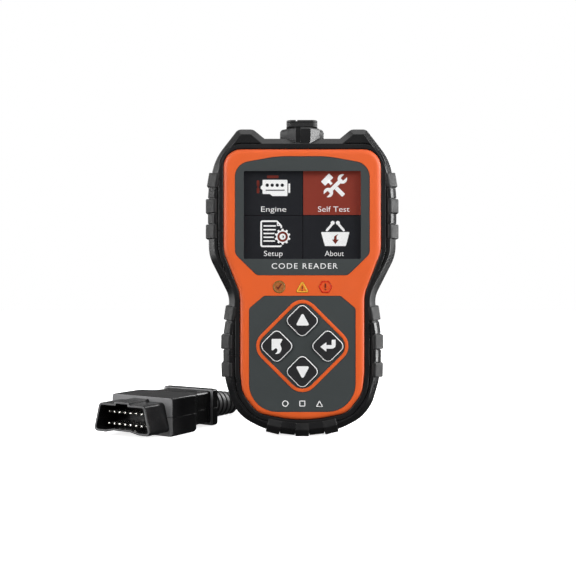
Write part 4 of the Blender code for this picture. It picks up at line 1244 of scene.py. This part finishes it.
def cover_half(name, upper):
    """Half of the plug's housing, lofted through rounded sections from its front block to its rear collar."""
    side = PLUG_WIDTH / 2
    waist, rear = PLUG_WAIST, PLUG_COLLAR
    # Each section: y, half width, lowest and highest z, corner radius.
    sections = [(0, side - 0.5, 0.5, PLUG_HEIGHT - 0.5, 1.2), (0.15, side - 0.2, 0.2, PLUG_HEIGHT - 0.2, 1.4)]
    sections += [(0.5, side, 0, PLUG_HEIGHT, 1.5), (20.5, side, 0, PLUG_HEIGHT, 1.5)]
    sections += [(22.3, side - 0.5, 0, 21.6, 1.6), (24.2, side - 1.6, 0, 21.55, 1.7)]
    sections += [(26.2, side - 3.0, 1.2, 21.3, 1.7), (28.2, waist + 0.9, 2.0, 21.1, 1.7)]
    sections += [(30.5, waist + 0.3, 2.1, 20.9, 1.7), (40.6, waist, 2.1, 20.6, 1.7)]
    sections += [(41.4, waist + 0.2, 1.9, 20.8, 1.7), (42.9, waist + 0.3, 1.7, 21.0, 1.7)]
    sections += [(43.2, rear - 0.3, 0.5, 21.7, 1.6), (43.5, rear, 0.2, 22, 1.5), (47.2, rear, 0.2, 22, 1.5)]
    sections += [(47.8, rear - 0.2, 0.4, 21.8, 1.4), (PLUG_LENGTH, rear - 0.6, 0.8, 21.4, 1.2)]
    seam = PLUG_SPLIT + (0.12 if upper else -0.12)
    rings = []
    for y, x, low, high, radius in sections:
        if upper:
            corners = [(-x, seam, 0.15), (x, seam, 0.15), (x, high, radius), (-x, high, radius)]
        else:
            corners = [(-x, low, radius), (x, low, radius), (x, seam, 0.15), (-x, seam, 0.15)]
        rings.append([(p.x, y, p.y) for p in rounded(corners, 6)])
    # Painted sheen: the front face and the collar's front step take a lighter grey that stands in for a
    # lamp's reflection.
    lit = [int(section[0] in (0, 42.9)) for section in sections]  # the front face and the collar's
    return loft(name, rings, "plug_plastic", "plug_face_painted_sheen", bands=lit, sharp=38)


def grip_bars(upper):
    """Raised bars for the fingers, on the waist."""
    level = 20.75 if upper else 2.1
    low, high = (level - 1, level + 0.45) if upper else (level - 0.45, level + 1)
    places = (29, 31.6, 34.2, 36.8)
    return [block("bar", (-11, y, low), (11, y + 1.1, high), 0.35, "plug_plastic") for y in places]


def plug_covers():
    for name, upper in (("bottom", False), ("top", True)):
        half = assembled(f"plug_{name}", [cover_half("half", upper)] + grip_bars(upper))
        placed(in_plug(half), "plug_plastic", f"plug_cover_{name}")


def shroud():
    """The D-shaped mouth, with a rounded rim whose front band carries a painted highlight."""
    outer, inner = rounded(mirrored(SHROUD_OUTSIDE), 6), rounded(mirrored(SHROUD_INSIDE), 6)
    steps = [(outer, 0, SHROUD_BACK), (outer, 0, SHROUD_FRONT + 0.35), (outer, -0.12, SHROUD_FRONT + 0.1)]
    steps += [(outer, -0.38, SHROUD_FRONT), (inner, 0.28, SHROUD_FRONT), (inner, 0.08, SHROUD_FRONT + 0.1)]
    steps += [(inner, 0, SHROUD_FRONT + 0.35), (inner, 0, SHROUD_BACK)]
    rings = [[(p.x, y, p.y) for p in grown(outline, offset)] for outline, offset, y in steps]
    # The front band of the rim takes a lighter grey as a painted highlight.
    made = loft("shroud", rings, "plug_plastic", "plug_rim_painted_highlight", loop=True, bands=[0, 0, 0, 1, 0, 0, 0, 0])
    return placed(in_plug(made), "plug_plastic", "plug_shroud")


def carrier_and_pins():
    """The block that holds the pins, with a raised well round each, and the two rows of pins."""
    outline = grown(rounded(mirrored(SHROUD_INSIDE), 6), -0.25)
    pieces = [plate("carrier", [outline], -1.0, SHROUD_BACK, "plug_plastic")]
    width, height = PIN_SIZE
    rows = []
    for number, z in enumerate(PIN_ROWS):
        pins = []
        for column in range(8):
            x = (column - 3.5) * PIN_PITCH
            low, high = (x - 1.35, -1.6, z - 1.15), (x + 1.35, -0.5, z + 1.15)
            pieces.append(block("well", low, high, 0.2, "plug_plastic"))
            low, high = (x - width / 2, PIN_FRONT, z - height / 2), (x + width / 2, PIN_BACK, z + height / 2)
            pins.append(block("pin", low, high, 0.32, "pin_metal"))
        joined = in_plug(assembled(f"pin_row_{number + 1}", pins))
        nodes = [f"pin_{8 * number + column:02d}" for column in range(1, 9)]
        rows.append(placed(joined, "pin_metal", *nodes))
    return [placed(in_plug(assembled("pin_block", pieces)), "plug_plastic", "pin_carrier"), *rows]


def plug_relief():
    """The strain relief: a root held between the covers, and a ribbed, tapered sleeve that tilts down."""
    start = PLUG_LENGTH + GAP
    root = [(0, 43.5), (6.0, 43.5), (6.0, 45.2), (4.7, 45.2), (4.7, start + 2), (0, start + 2)]
    root = lathe("root", root, "relief_rubber", middle=(0, 0, PLUG_SPLIT), axis="Y", sides=48)
    rings = 8
    length = RELIEF_END - start
    pitch = (length - 4.2) / rings
    profile = [(0, 0.8), (9.4, 0.8), (9.7, 1.0)]
    for ring in range(rings):
        near = 0.9 + ring * pitch
        radius = 9.9 - 2.9 * (ring + 0.2) / rings
        profile += [(radius, near + 0.3), (radius - 0.05, near + pitch - 1.9)]
        profile += [(radius - 0.3, near + pitch - 1.5), (radius - 1.3, near + pitch - 1.3)]
        profile += [(radius - 1.35, near + pitch - 0.2)]
    profile += [(5.3, length - 3.2), (4.7, length - 0.5), (4.1, length), (0, length)]
    sleeve = lathe("sleeve", profile, "relief_rubber", axis="Y", sides=56)
    tilt = Matrix.Rotation(math.radians(-RELIEF_TILT), 4, "X")
    moved(sleeve, Matrix.Translation(Vector((0, start, PLUG_SPLIT)) * MM) @ tilt)
    return placed(in_plug(assembled("plug_relief", [root, sleeve])), "relief_rubber", "plug_strain_relief")


# CAD pieces that keep their shape


def finish_cad_nodes():
    """Gives each carried-over CAD node a procedural material."""
    kept = {
        "display_backlight": "backlight_frame",
        "key_guide": "guide_plastic",
        "main_board": "circuit_board",
        "processor_chip": "chip_black",
        "transceiver_chip": "chip_black",
        "cable_header": "header_plastic",
        "cable_tail": "cable_jacket",
    }
    kept |= {f"key_dome_{name}": "dome_steel" for name in KEYS}
    kept |= {f"status_led_{name}": "led_body" for name in LIGHTS}
    for node, material in kept.items():
        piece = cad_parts[node]
        for slot in piece.material_slots:
            slot.material = MATERIALS[material]


def build():
    camera()
    tie = coil_tie()
    relief = outlet()
    plug_covers()
    covers = [bpy.data.objects["plug_bottom"], bpy.data.objects["plug_top"]]
    cable([tie, relief, *covers, shroud(), *carrier_and_pins(), plug_relief()])
    boot()
    front_shell()
    rear_shell()
    housing_screws()
    screen_overlay()
    keypad_overlay()
    display()
    keys()
    status_lights()
    finish_cad_nodes()
    studio()
    studio_floor()


build()
